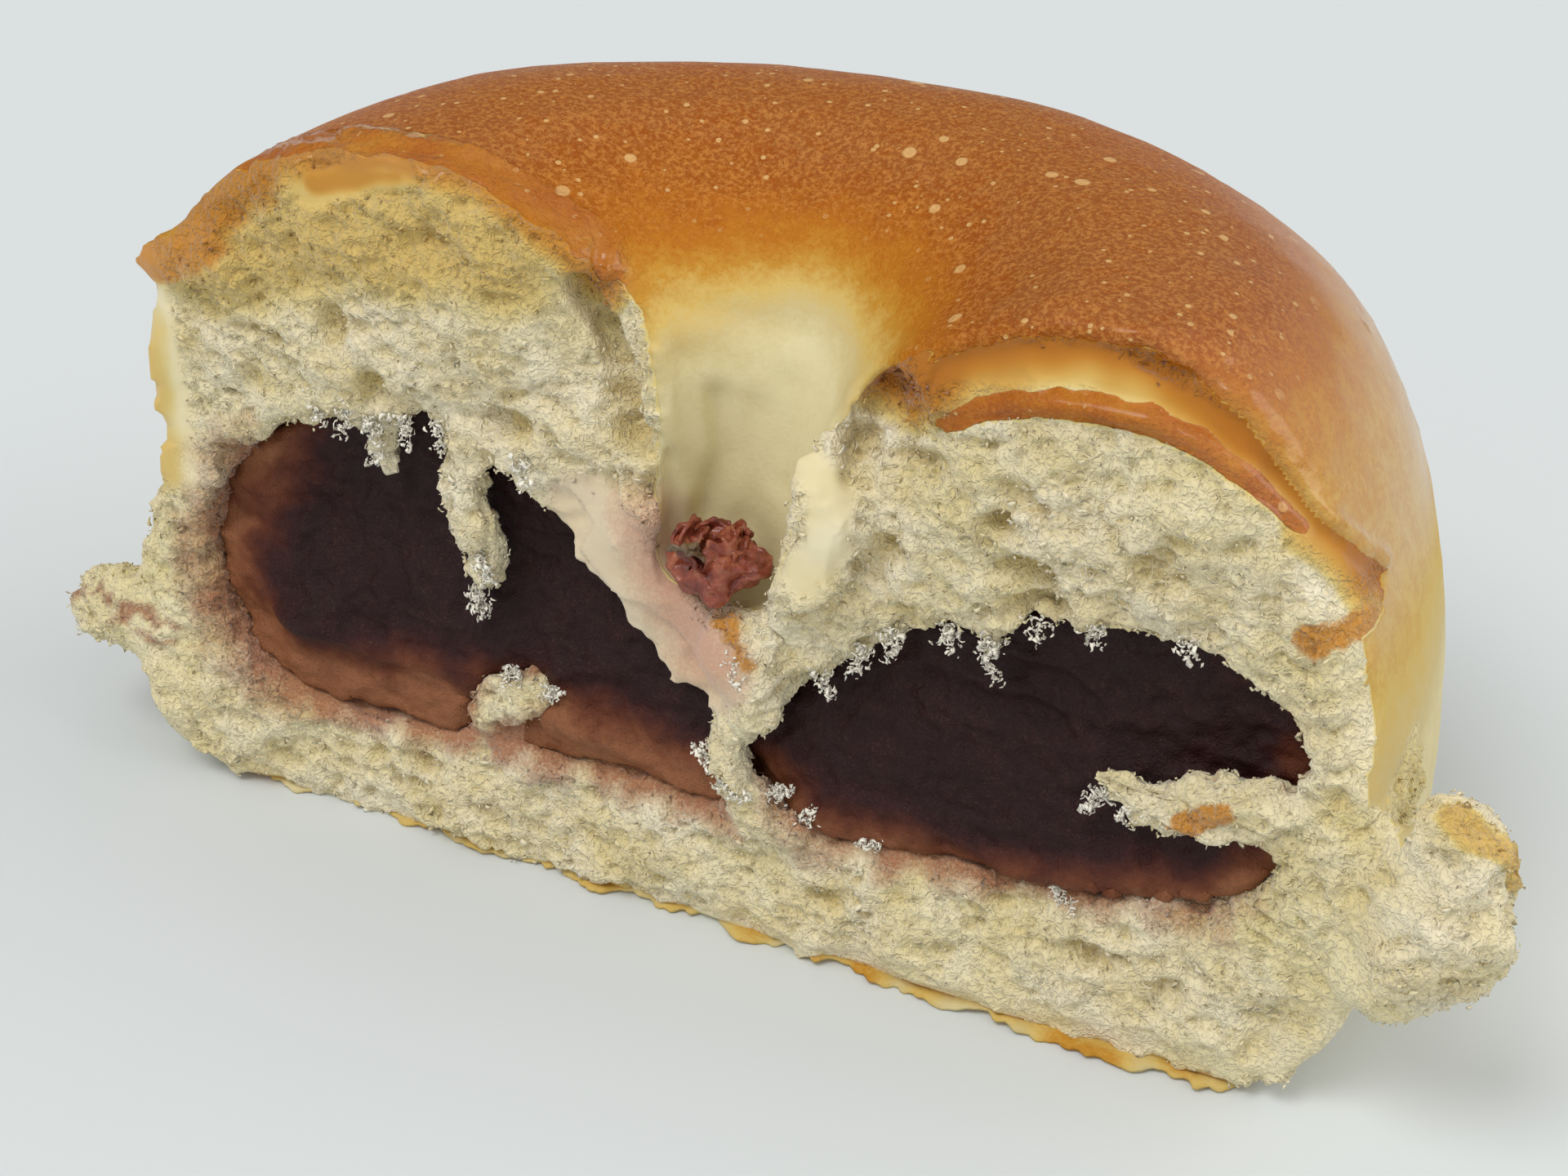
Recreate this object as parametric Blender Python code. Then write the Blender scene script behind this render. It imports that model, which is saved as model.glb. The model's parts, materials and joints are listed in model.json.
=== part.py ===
"""Half of a red bean bun, torn open by hand through its navel.

The bread is one solid: a tall round bun with a deep funnel pressed into its top, torn
across the middle, with the hollow for the filling and the scraps of crumb that hang over
it. The bean paste fills the hollow, and a pickled blossom lies in the funnel.

The bun is modelled about its own upright axis, with the torn face across Y = 0, its back
towards +Y and its base on Z = 0. An empty then carries everything back by SETBACK, so that
the origin is under the middle of the half. Sizes are in millimetres, times MM.
"""

import math

import bmesh
import bpy
from mathutils import Vector, noise

MM = 0.001

# The whole bun
RADIUS = 40.0
DEPTH_RATIO = 0.933  # the half is a little shallower than half its width
HEIGHT = 44.5
WAIST = 12.5  # level of the widest ring
BASE_RADIUS = 30.0
CROWN_RADIUS = 18.0  # ring of the top's highest points
CROWN_POWER = 2.7
SHOULDER_POWER = 2.2
FOOT_POWER = 2.2
PLAN_WAVES = ((2, 0.008, -0.012), (3, -0.047, 0.0), (4, -0.029, 0.0))  # turns, cosine, sine
SIDE_PINCH = 2.6  # the left flank is pressed in by this much, round a point of the torn edge
SIDE_PINCH_MIDDLE = (-40.0, 0.0, 21.0)
SIDE_PINCH_SPREAD = (10.0, 14.0, 6.5)
DENT_DEPTH = 0.45  # low swells all over the crust
DENT_SIZE = 14.0
SETBACK = 16.0
DOME_STEPS = 58
NAVEL_STEPS = 11
SIDE_STEPS = 16
FOOT_STEPS = 7

# The navel, a funnel that flares up to the crown
NAVEL_FLOOR = 21.8
NAVEL_RADIUS = 4.0
NAVEL_FLARE_POWER = 5.0
NAVEL_LEAN_FOOT = -0.9  # its middle moves in X from its floor
NAVEL_LEAN_TOP = 1.1  # to its mouth

# The torn face
TEAR_PITCH = 1.83  # spacing of the relief's points
TEAR_HALF_WIDTH = 54.3
TEAR_TOP = 52.0
TEAR_BOTTOM = -6.2
TEAR_REACH = 48.0  # how far the cutter runs in front of the face
LIP_WIDTH = 4.6  # the crust's edge leans back over this height
LIP_START = (6.0, 13.0)  # beside the navel it begins over this range of X
LIP_SETBACK_LEFT = 0.6
LIP_SETBACK_RIGHT = 2.0
CRAG_DEPTH = 0.75
CRAG_SIZE = 4.2
CRUMB_DEPTH = 0.4
CRUMB_SIZE = 1.9
# Places where the tear runs further back (+) or stands forward (-): X, Z, spread in X and Z, depth
TEAR_SWELLS = (
    (38.0, 15.0, 5.0, 9.0, -1.4),  # the right flank stands out
    (20.0, 33.0, 9.0, 4.5, -1.2),
    (-25.0, 34.0, 8.0, 5.0, -0.9),
    (-37.0, 5.0, 6.0, 6.0, -2.6),
    (0.0, 2.0, 30.0, 4.0, -0.9),
    (-7.6, 36.5, 2.2, 4.2, 3.0),  # hollow behind the funnel's left wall
    (8.8, 36.2, 1.5, 3.2, 3.0),  # hollow behind the funnel's right wall
    (-6.0, 24.0, 5.0, 4.0, -0.8),
)

# The bean paste: its section to the right and to the left of the axis, from its top over
# the rim to its underside, as distance from the axis and height
PASTE_RIGHT = (
    (0.0, 14.2), (3.4, 16.4), (6.5, 19.4), (10.0, 22.2), (13.5, 24.4), (17.5, 25.6),
    (21.5, 26.8), (26.0, 27.2), (30.0, 26.0), (32.6, 23.0), (33.0, 19.0), (32.0, 15.0),
    (29.2, 12.2), (25.0, 10.8), (19.0, 9.9), (12.0, 9.2), (6.0, 8.8), (0.0, 8.6),
)
PASTE_LEFT = (
    (0.0, 14.2), (3.6, 15.2), (6.4, 18.0), (9.2, 21.6), (12.6, 25.0), (16.4, 28.0),
    (20.6, 28.4), (25.0, 26.8), (29.6, 24.6), (33.6, 21.4), (35.2, 17.0), (34.6, 12.4),
    (32.2, 8.8), (28.0, 7.2), (21.0, 7.4), (14.0, 8.2), (7.0, 8.5), (0.0, 8.6),
)
PASTE_STEPS = 38
PASTE_SMOOTHING = 1  # points added between two of the section
PASTE_RECESS_TOP = 2.6  # how far its face lies behind the crumb, under the overhang
PASTE_RECESS_FOOT = 0.5
PASTE_RECESS_RISE = (9.0, 21.0)  # from the foot's recess to the top's over this range of Z
PASTE_ROLL_DEPTH = 0.55
PASTE_ROLL_SIZE = 6.5
GAP = 0.35  # clearance of pieces that touch

# Crumb and crust that hang over the paste or stick out, as paths of X, Z in the torn face,
# with the depth (Y), half width and half thickness
SCRAPS = (
    ("hanging_strand", ((-15.8, 30.0), (-17.0, 26.0), (-16.2, 21.8), (-16.4, 17.4)), 0.6, 1.7, 1.3),
    ("left_wisp", ((-22.6, 29.5), (-22.8, 26.6), (-21.8, 23.6)), 1.0, 1.3, 1.0),
    ("right_scrap", ((34.5, 19.8), (30.0, 18.7), (26.0, 17.3), (21.6, 18.6)), 0.2, 2.1, 1.5),
    ("middle_strand", ((1.4, 17.0), (0.2, 13.2), (1.7, 9.8), (5.8, 7.4)), -0.2, 1.8, 1.5),
    ("low_left_scrap", ((-17.6, 7.2), (-15.0, 10.8), (-11.2, 12.8)), 0.6, 1.7, 1.3),
    ("navel_tongue", ((-0.2, 22.6), (1.0, 20.4), (2.0, 18.0), (1.6, 14.8)), -1.2, 2.3, 1.6),
    ("navel_flap", ((4.6, 33.4), (6.2, 30.6), (5.6, 26.8), (3.4, 22.6)), -0.9, 1.9, 1.4),
    ("crust_tip", ((-28.4, 35.4), (-33.0, 35.8), (-38.2, 33.8)), 0.2, 2.0, 1.4),
    ("left_flap", ((-34.6, 6.6), (-40.2, 8.8), (-46.4, 9.0)), 0.4, 2.8, 2.2),
    ("right_flap", ((36.6, 9.4), (39.8, 13.4), (41.2, 17.8), (40.4, 23.4)), -0.4, 3.7, 3.0),
    ("right_fringe", ((15.2, 26.0), (15.9, 22.0)), 0.4, 0.9, 0.8),
)
SCRAP_SMALL = 1.5  # half width under which a scrap needs few faces
SCRAP_ROUGHNESS = 0.42
SCRAP_GRAIN = 2.3

# The pickled blossom
BLOSSOM_MIDDLE = (-0.9, 0.3, 24.7)
BLOSSOM_RADII = (3.3, 2.9, 2.4)
BLOSSOM_CRUMPLE = 0.16
BLOSSOM_FOLDS = 1.5

CRUST_COLOUR = (0.46, 0.17, 0.035, 1)
PASTE_COLOUR = (0.035, 0.012, 0.012, 1)
BLOSSOM_COLOUR = (0.42, 0.10, 0.08, 1)


def clear_scene():
    for old in list(bpy.data.objects):
        bpy.data.objects.remove(old)


def finish_material(name, colour, roughness):
    material = bpy.data.materials.new(name)
    material.use_nodes = True
    shader = material.node_tree.nodes["Principled BSDF"]
    shader.inputs["Base Color"].default_value = colour
    shader.inputs["Roughness"].default_value = roughness
    shader.inputs["Metallic"].default_value = 0.0
    return material


def smooth_step(low, high, value):
    share = min(1.0, max(0.0, (value - low) / (high - low)))
    return share * share * (3 - 2 * share)


def bell(spot, middle, spread):
    """1 at the middle, falling smoothly to 0 over the spread along each axis."""
    return math.exp(-sum(((at - mid) / wide) ** 2 for at, mid, wide in zip(spot, middle, spread)))


def wave(x, y, z, size):
    """Smooth noise from -1 to 1 whose swells are about that many millimetres apart."""
    return noise.noise(Vector((x, y, z)) / size)


def smooth_path(points, added):
    """A Catmull-Rom curve through the points, with that many added between each two."""
    points = [Vector(point) for point in points]
    ends = [2 * points[0] - points[1], *points, 2 * points[-1] - points[-2]]
    path = []
    for before, start, end, after in zip(ends, ends[1:], ends[2:], ends[3:]):
        for step in range(added + 1):
            t = step / (added + 1)
            path.append(
                0.5 * (2 * start + (end - before) * t
                       + (2 * before - 5 * start + 4 * end - after) * t * t
                       + (3 * start - before - 3 * end + after) * t * t * t)
            )
    path.append(points[-1])
    return path


def new_object(name, mesh_builder):
    """An object of the mesh in triangles, so that each face which a Boolean meets is flat."""
    bmesh.ops.triangulate(mesh_builder, faces=mesh_builder.faces)
    mesh = bpy.data.meshes.new(name)
    mesh_builder.to_mesh(mesh)
    mesh_builder.free()
    made = bpy.data.objects.new(name, mesh)
    bpy.context.scene.collection.objects.link(made)
    return made


def boolean(target, operation, tools):
    """Applies one Boolean with all the tools at once, then removes them."""
    shelf = bpy.data.collections.new(target.name + "_tools")
    for tool in tools:
        shelf.objects.link(tool)
    cut = target.modifiers.new(operation.lower(), "BOOLEAN")
    cut.operation = operation
    cut.operand_type = "COLLECTION"
    cut.collection = shelf
    bpy.context.view_layer.objects.active = target
    bpy.ops.object.modifier_apply(modifier=cut.name)
    for tool in tools:
        bpy.data.objects.remove(tool)
    bpy.data.collections.remove(shelf)


def drop_loose_bits(target):
    """Keeps the largest connected body of a mesh that a Boolean has cut."""
    builder = bmesh.new()
    builder.from_mesh(target.data)
    left, bodies = set(builder.verts), []
    while left:
        body, front = set(), [left.pop()]
        while front:
            vert = front.pop()
            body.add(vert)
            for edge in vert.link_edges:
                other = edge.other_vert(vert)
                if other in left:
                    left.remove(other)
                    front.append(other)
        bodies.append(body)
    bodies.sort(key=len)
    loose = [vert for body in bodies[:-1] for vert in body]
    bmesh.ops.delete(builder, geom=loose, context="VERTS")
    builder.to_mesh(target.data)
    builder.free()


def spun(section, steps):
    """A closed bmesh of the section (distance from the axis, height) turned once about Z.
    It starts half a step round, so that no seam lies in the torn face."""
    builder = bmesh.new()
    start = math.pi / steps
    line = [
        builder.verts.new((radius * math.cos(start), radius * math.sin(start), height))
        for radius, height in section
    ]
    edges = [builder.edges.new(pair) for pair in zip(line, line[1:])]
    bmesh.ops.spin(
        builder, geom=line + edges, cent=(0, 0, 0), axis=(0, 0, 1), angle=math.tau,
        steps=steps, use_merge=True,
    )
    bmesh.ops.remove_doubles(builder, verts=builder.verts, dist=0.01)
    bmesh.ops.recalc_face_normals(builder, faces=builder.faces)
    return builder


def to_metres(builder):
    bmesh.ops.scale(builder, vec=(MM, MM, MM), verts=builder.verts)


def plan_wave(angle):
    """How far the bun's plan departs from a circle in that direction."""
    return 1 + sum(c * math.cos(n * angle) + s * math.sin(n * angle) for n, c, s in PLAN_WAVES)


def navel_radius(height):
    rise = (height - NAVEL_FLOOR) / (HEIGHT - NAVEL_FLOOR)
    return NAVEL_RADIUS + (CROWN_RADIUS - NAVEL_RADIUS) * rise**NAVEL_FLARE_POWER


def dome_section():
    """From the navel's floor over the crown and the side to the middle of the base."""
    floor_levels = ((0.0, 0.0), (0.5, 0.1), (0.82, 0.7), (1.0, 2.0))
    section = [(NAVEL_RADIUS * share, NAVEL_FLOOR + rise) for share, rise in floor_levels]
    wall_foot = NAVEL_FLOOR + floor_levels[-1][1]
    for step in range(1, NAVEL_STEPS):
        height = wall_foot + (HEIGHT - wall_foot) * (step / NAVEL_STEPS) ** 0.75
        section.append((navel_radius(height), height))
    for step in range(SIDE_STEPS + 1):
        turn = math.pi / 2 * step / SIDE_STEPS
        radius = CROWN_RADIUS + (RADIUS - CROWN_RADIUS) * math.sin(turn) ** (2 / CROWN_POWER)
        section.append((radius, WAIST + (HEIGHT - WAIST) * math.cos(turn) ** (2 / SHOULDER_POWER)))
    for step in range(1, FOOT_STEPS + 1):
        turn = math.pi / 2 * step / FOOT_STEPS
        radius = BASE_RADIUS + (RADIUS - BASE_RADIUS) * math.cos(turn) ** (2 / FOOT_POWER)
        section.append((radius, WAIST * (1 - math.sin(turn) ** (2 / FOOT_POWER))))
    section += [(BASE_RADIUS * 0.5, 0.0), (0.0, 0.0)]
    return section


def crown_height(x):
    """Height of the outer surface over the torn face, outside the funnel."""
    reach = abs(x) / plan_wave(0.0 if x > 0 else math.pi)
    share = min(1.0, max(0.0, (reach - CROWN_RADIUS) / (RADIUS - CROWN_RADIUS)))
    return WAIST + (HEIGHT - WAIST) * (1 - share**CROWN_POWER) ** (1 / SHOULDER_POWER)


def make_dome():
    builder = spun(dome_section(), DOME_STEPS)
    for vert in builder.verts:
        x, y, z = vert.co
        radius = math.hypot(x, y)
        swell = 1 + (plan_wave(math.atan2(y, x)) - 1) * smooth_step(0.3, 0.9, radius / RADIUS)
        up_navel = smooth_step(NAVEL_FLOOR, HEIGHT - 6, z)
        lean = NAVEL_LEAN_FOOT + (NAVEL_LEAN_TOP - NAVEL_LEAN_FOOT) * up_navel
        in_navel = 1 - smooth_step(2 * NAVEL_RADIUS, CROWN_RADIUS, radius)
        in_navel *= smooth_step(NAVEL_FLOOR - 2, NAVEL_FLOOR, z)
        dent = DENT_DEPTH * wave(x, y, z, DENT_SIZE) * smooth_step(2.0, 10.0, z)
        vert.co = Vector((x * swell + lean * in_navel, y * swell * DEPTH_RATIO, z + dent))
        vert.co.x += SIDE_PINCH * bell(vert.co, SIDE_PINCH_MIDDLE, SIDE_PINCH_SPREAD)
    to_metres(builder)
    return new_object("bread", builder)


def tear_depth(x, z):
    """Y of the torn crumb at a place on the face."""
    depth = sum(
        deep * bell((x, z), (at_x, at_z), (wide, tall))
        for at_x, at_z, wide, tall, deep in TEAR_SWELLS
    )
    crown = crown_height(x)
    lip = smooth_step(crown - LIP_WIDTH, crown, z) * smooth_step(*LIP_START, abs(x))
    crag = CRAG_DEPTH * wave(x, 3.0, z, CRAG_SIZE) + CRUMB_DEPTH * wave(x, 9.0, z, CRUMB_SIZE)
    setback = LIP_SETBACK_RIGHT if x > 0 else LIP_SETBACK_LEFT
    return depth + setback * lip + crag


def paste_depth(x, z):
    """Y of the paste's torn face: deep under the overhanging crumb, almost flush at its foot."""
    up = smooth_step(*PASTE_RECESS_RISE, z)
    recess = PASTE_RECESS_FOOT + (PASTE_RECESS_TOP - PASTE_RECESS_FOOT) * up
    return recess + PASTE_ROLL_DEPTH * wave(x, 21.0, z, PASTE_ROLL_SIZE)


def tear_cutter(name, depth_at):
    """A block in front of the face, whose back is the relief."""
    columns = round(2 * TEAR_HALF_WIDTH / TEAR_PITCH)
    rows = round((TEAR_TOP - TEAR_BOTTOM) / TEAR_PITCH)
    builder = bmesh.new()
    bmesh.ops.create_grid(builder, x_segments=columns, y_segments=rows, size=1.0)
    for vert in builder.verts:
        x = vert.co.x * TEAR_HALF_WIDTH
        z = TEAR_BOTTOM + (TEAR_TOP - TEAR_BOTTOM) * (vert.co.y + 1) / 2
        vert.co = Vector((x, depth_at(x, z), z))
    front = bmesh.ops.extrude_face_region(builder, geom=builder.faces[:])
    for vert in front["geom"]:
        if isinstance(vert, bmesh.types.BMVert):
            vert.co.y = -TEAR_REACH
    bmesh.ops.recalc_face_normals(builder, faces=builder.faces)
    to_metres(builder)
    return new_object(name, builder)


def make_paste_body(name, growth=0.0):
    """The paste of the whole bun: the right section turns into the left one on the way round."""
    right = smooth_path(PASTE_RIGHT, PASTE_SMOOTHING)
    left = smooth_path(PASTE_LEFT, PASTE_SMOOTHING)
    right[0].x = right[-1].x = 0.0
    builder = spun(right, PASTE_STEPS)
    matches = {(round(point.x, 2), round(point.y, 2)): index for index, point in enumerate(right)}
    for vert in builder.verts:
        radius = math.hypot(vert.co.x, vert.co.y)
        index = min(
            matches.items(),
            key=lambda match: abs(match[0][0] - radius) + abs(match[0][1] - vert.co.z),
        )[1]
        angle = math.atan2(vert.co.y, vert.co.x)
        share = (1 - math.cos(angle)) / 2
        blended = right[index].lerp(left[index], share)
        across, back = blended.x * math.cos(angle), blended.x * math.sin(angle)
        vert.co = Vector((across, back * DEPTH_RATIO, blended.y))
    builder.normal_update()
    moved = [(vert, vert.normal * growth) for vert in builder.verts]
    for vert, step in moved:
        vert.co += step
    to_metres(builder)
    return new_object(name, builder)


def make_scrap(name, path, depth, half_width, half_thickness, growth=0.0):
    """A torn lump bent along its path in the face, tapering to its ends."""
    line = smooth_path([Vector((x, depth, z)) for x, z in path], 5)
    builder = bmesh.new()
    fineness = 2 if half_width < SCRAP_SMALL else 3
    bmesh.ops.create_icosphere(builder, subdivisions=fineness, radius=1.0)
    for vert in builder.verts:
        along, across, up = vert.co
        place = (along + 1) / 2 * (len(line) - 1)
        index = min(int(place), len(line) - 2)
        spot = line[index].lerp(line[index + 1], place - index)
        ahead = (line[index + 1] - line[index]).normalized()
        side = Vector((ahead.z, 0, -ahead.x))
        grain = (spot + side * across * 3 + Vector((0, up * 2, 0))) / SCRAP_GRAIN
        rough = 1 + SCRAP_ROUGHNESS * noise.noise(grain)
        vert.co = spot + side * across * half_width * rough + Vector((0, up * half_thickness * rough, 0))
    builder.normal_update()
    moved = [(vert, vert.normal * growth) for vert in builder.verts]
    for vert, step in moved:
        vert.co += step
    to_metres(builder)
    return new_object(name, builder)


def make_bread():
    bread = make_dome()
    boolean(bread, "DIFFERENCE", [tear_cutter("bread_tear", tear_depth)])
    boolean(bread, "DIFFERENCE", [make_paste_body("paste_hollow", GAP)])
    boolean(bread, "UNION", [make_scrap(*scrap) for scrap in SCRAPS])
    drop_loose_bits(bread)
    bread.data.materials.append(finish_material("crust", CRUST_COLOUR, 0.4))
    return bread


def make_paste():
    paste = make_paste_body("bean_paste")
    boolean(paste, "DIFFERENCE", [tear_cutter("paste_tear", paste_depth)])
    boolean(paste, "DIFFERENCE", [make_scrap(*scrap, growth=GAP) for scrap in SCRAPS])
    drop_loose_bits(paste)
    paste.data.materials.append(finish_material("bean_paste", PASTE_COLOUR, 0.45))
    return paste


def make_blossom():
    builder = bmesh.new()
    bmesh.ops.create_icosphere(builder, subdivisions=3, radius=1.0)
    for vert in builder.verts:
        ridge = abs(noise.noise(vert.co * BLOSSOM_FOLDS + Vector((4, 7, 1))))
        size = 1 - BLOSSOM_CRUMPLE + 2 * BLOSSOM_CRUMPLE * ridge
        vert.co = Vector(BLOSSOM_MIDDLE) + Vector(BLOSSOM_RADII) * vert.co * size
    to_metres(builder)
    blossom = new_object("pickled_blossom", builder)
    blossom.data.materials.append(finish_material("blossom", BLOSSOM_COLOUR, 0.5))
    return blossom


def main():
    clear_scene()
    seat = bpy.data.objects.new("bun", None)
    seat.location.y = -SETBACK * MM
    bpy.context.scene.collection.objects.link(seat)
    for piece in (make_bread(), make_paste(), make_blossom()):
        piece.parent = seat
        piece.data.shade_smooth()


main()
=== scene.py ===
"""Looks of half a red bean bun, torn open by hand through the navel in its top.

Shapes are worked out on the bun's own axes, in millimetres: X to the right along the torn
face, Y from the torn face towards the back, Z up. The frame's origin lies SETBACK behind
the torn face, and the last step of each piece puts it there, in metres.
"""

import functools
import json
import math
import random

import bmesh
import bpy
from mathutils import Matrix, Vector, noise
from mathutils.bvhtree import BVHTree

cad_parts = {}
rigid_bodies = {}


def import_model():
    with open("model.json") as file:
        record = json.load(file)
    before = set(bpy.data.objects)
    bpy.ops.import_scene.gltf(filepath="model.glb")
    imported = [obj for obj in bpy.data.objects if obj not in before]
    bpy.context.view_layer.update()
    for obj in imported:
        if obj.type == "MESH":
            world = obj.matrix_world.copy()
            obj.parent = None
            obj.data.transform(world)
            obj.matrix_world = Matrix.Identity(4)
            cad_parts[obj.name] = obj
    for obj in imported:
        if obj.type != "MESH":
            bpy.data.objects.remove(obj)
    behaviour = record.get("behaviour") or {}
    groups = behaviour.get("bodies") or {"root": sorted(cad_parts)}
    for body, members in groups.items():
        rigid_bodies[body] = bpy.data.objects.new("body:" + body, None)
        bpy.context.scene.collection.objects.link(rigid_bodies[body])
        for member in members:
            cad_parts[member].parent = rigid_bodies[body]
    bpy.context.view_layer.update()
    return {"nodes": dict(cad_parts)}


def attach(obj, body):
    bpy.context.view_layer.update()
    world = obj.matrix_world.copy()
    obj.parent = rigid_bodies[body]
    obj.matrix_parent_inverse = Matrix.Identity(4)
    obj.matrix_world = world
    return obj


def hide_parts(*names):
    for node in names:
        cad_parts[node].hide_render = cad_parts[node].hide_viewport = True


MM = 0.001
SETBACK = 16.0
FAR = 5.0  # beyond this, a distance on the torn face is not needed
SHEET_THICKNESS = 0.2
NOISE_SEED = 7  # without one, noise vectors differ from run to run

# The camera, aimed at a point of the torn face
VIEW_AZIMUTH = 27.25
VIEW_ELEVATION = 33.144
VIEW_ROLL = 0.061
VIEW_DISTANCE = 174.644
VIEW_TARGET = (3.348, 0.0, 24.378)
VIEW_LENS = 74.78  # for a sensor 36 mm wide

# The bread
BREAD_VOXEL = 0.95
OUTLINE_MIDDLE = (0.0, 17.0)  # X, Z that the crust's outline is measured from
OUTLINE_BEHIND = (3.0, 8.0)  # range of Y that it is measured in
OUTLINE_STEPS = 72
TORN_BEHIND = 4.0  # the tear runs no deeper than this
FLAPS_FROM = 28.0  # the crumb flaps at both lower corners start that far out
FLAPS_TOP = 20.0
NAVEL_FLOOR = 21.8
NAVEL_RADIUS = 4.0
NAVEL_MOUTH = 18.0
NAVEL_TOP = 44.5
NAVEL_LEAN = (-0.9, 1.1)

# Crumb: open cells as size, depth, and how few of them are deep
CRUMB_CELLS = ((2.6, 0.5, 3.0), (1.4, 0.4, 1.4), (0.8, 0.3, 0.8))
CRUMB_STRETCH = (0.8, 1.0, 1.2)
CRUMB_WARP = 0.5
CRUMB_WARP_SIZE = 2.4
STRAND_SLIM = -0.28  # the scraps in front of the filling are that much thinner
TUFTS = ((3.8, 0.42), (1.7, 0.12), (0.8, 0.08))  # size, height
BREAD_MASKS = (
    "torn", "pore", "dense", "under_crust", "browned", "stain", "blush", "bake", "gloss",
    "sheen", "yellow", "dough", "fluff",
)

# Light: name, azimuth, elevation, strength, softness, colour
SUNS = (
    ("window", -20.0, 60.0, 1.25, 28.0, (1.0, 0.99, 0.97)),
    ("side", 108.0, 35.0, 0.75, 45.0, (1.0, 0.99, 0.97)),
)
WORLD_STRENGTH = 0.78
WORLD_COLOUR = (0.985, 0.975, 0.975, 1)
WORLD_BACK = 0.3  # share of it that comes from behind the bun
FLOOR_TONE = (0.66, 0.70, 0.71, 1)

# Tones, as position and linear colour
BAKED_TONES = (
    (0.0, (0.70, 0.62, 0.36)), (0.1, (0.59, 0.48, 0.23)), (0.2, (0.61, 0.43, 0.125)),
    (0.33, (0.51, 0.25, 0.032)), (0.49, (0.46, 0.16, 0.011)), (0.67, (0.43, 0.120, 0.006)),
    (0.87, (0.37, 0.088, 0.006)), (1.0, (0.36, 0.105, 0.020)),
)
# Crumb tones along the painted shade of its cells: cream on the walls, darker olive yellow deep in the
# cells
CRUMB_TONES = (
    (0.0, (0.92, 0.86, 0.71)), (0.3, (0.84, 0.76, 0.57)), (0.6, (0.71, 0.605, 0.40)),
    (1.0, (0.48, 0.355, 0.18)),
)
# Tones of the torn walls along the same painted shade, their tips painted lighter
RAG_TONES = ((0.0, (0.94, 0.90, 0.78)), (0.5, (0.90, 0.84, 0.68)), (1.0, (0.79, 0.70, 0.50)))
UNDER_CRUST_TONES = (
    (0.0, (0.70, 0.62, 0.34)), (0.3, (0.68, 0.54, 0.20)), (0.6, (0.60, 0.355, 0.08)),
    (0.85, (0.48, 0.205, 0.025)), (1.0, (0.38, 0.13, 0.014)),
)
YELLOW_TONE = (0.75, 0.67, 0.29)
# Tints of the crumb: mask, strength, colour
CRUMB_TINTS = (
    ("dough", 0.7, (0.62, 0.50, 0.36)),
    ("blush", 0.75, (0.52, 0.26, 0.18)),
    ("stain", 0.9, (0.33, 0.115, 0.05)),
    ("browned", 1.0, (0.54, 0.24, 0.04)),
)
PETAL_TONES = ((0.3, (0.11, 0.020, 0.012)), (0.5, (0.25, 0.050, 0.026)), (0.72, (0.42, 0.155, 0.075)))
SEPAL_TONES = ((0.3, (0.07, 0.035, 0.018)), (0.55, (0.16, 0.10, 0.055)), (0.75, (0.26, 0.19, 0.11)))
PASTE_TONES = (
    (0.0, (0.020, 0.0066, 0.0072)), (0.25, (0.030, 0.0085, 0.008)), (0.5, (0.070, 0.017, 0.010)),
    (0.75, (0.145, 0.043, 0.018)), (1.0, (0.27, 0.105, 0.045)),
)
PASTE_PALE = (0.085, 0.035, 0.03)
# The crown's fine grain, blisters and dark specks, and the pink round the blossom
GRAIN_LIGHT = (0.62, 0.32, 0.08)
GRAIN_DARK = (0.17, 0.04, 0.006)
BLISTER_TONE = (0.72, 0.44, 0.17)
SPECK_TONE = (0.12, 0.03, 0.01)
BLUSH_TONE = (0.52, 0.26, 0.19)
# Relief in the looks: depth, strength
BREAD_RELIEF = (0.13, 0.75)
PASTE_RELIEF = (0.14, 0.9)
BLOSSOM_RELIEF = (0.15, 0.7)
# How brown the skin is by distance from the navel's middle, and on the side by height
NAVEL_BAKE = (
    (4.6, 0.0), (6.4, 0.2), (7.6, 0.33), (9.0, 0.49), (10.6, 0.67), (12.4, 0.87), (14.0, 1.0),
)
SIDE_BAKE = (
    (0.0, 0.3), (1.2, 0.22), (3.0, 0.05), (19.0, 0.03), (23.0, 0.14), (29.0, 0.25), (36.0, 0.33),
    (40.0, 0.45), (42.3, 0.72), (43.8, 1.0),
)

# Lines on the torn face, as X, Z on its plane
# Left of the blossom: the dough's smooth lip, and the pink the blossom left on it
NAVEL_LIP = ((-8.6, 25.4), (-6.4, 22.4), (-4.2, 19.6), (-1.6, 17.4))
PINK = ((-4.4, 25.8), (-3.6, 22.6), (-2.2, 20.0), (-1.4, 18.4))
# Right of it: the thin flap of dough
NAVEL_FLAP = ((4.2, 33.0), (6.2, 31.2), (5.9, 28.0), (4.6, 25.4))
# At the upper left: the skin that bends down over the tear, and the fold it bends along
OVERHANG = (
    (-28.0, 44.2), (-22.0, 45.0), (-18.0, 45.5), (-14.0, 45.4), (-11.0, 44.6), (-8.6, 43.2),
    (-7.0, 41.0),
)
FOLD = (
    (-23.0, 45.5), (-17.0, 46.2), (-13.9, 46.3), (-9.3, 46.0), (-7.1, 44.8), (-6.2, 43.1),
    (-7.0, 40.8),
)
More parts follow.
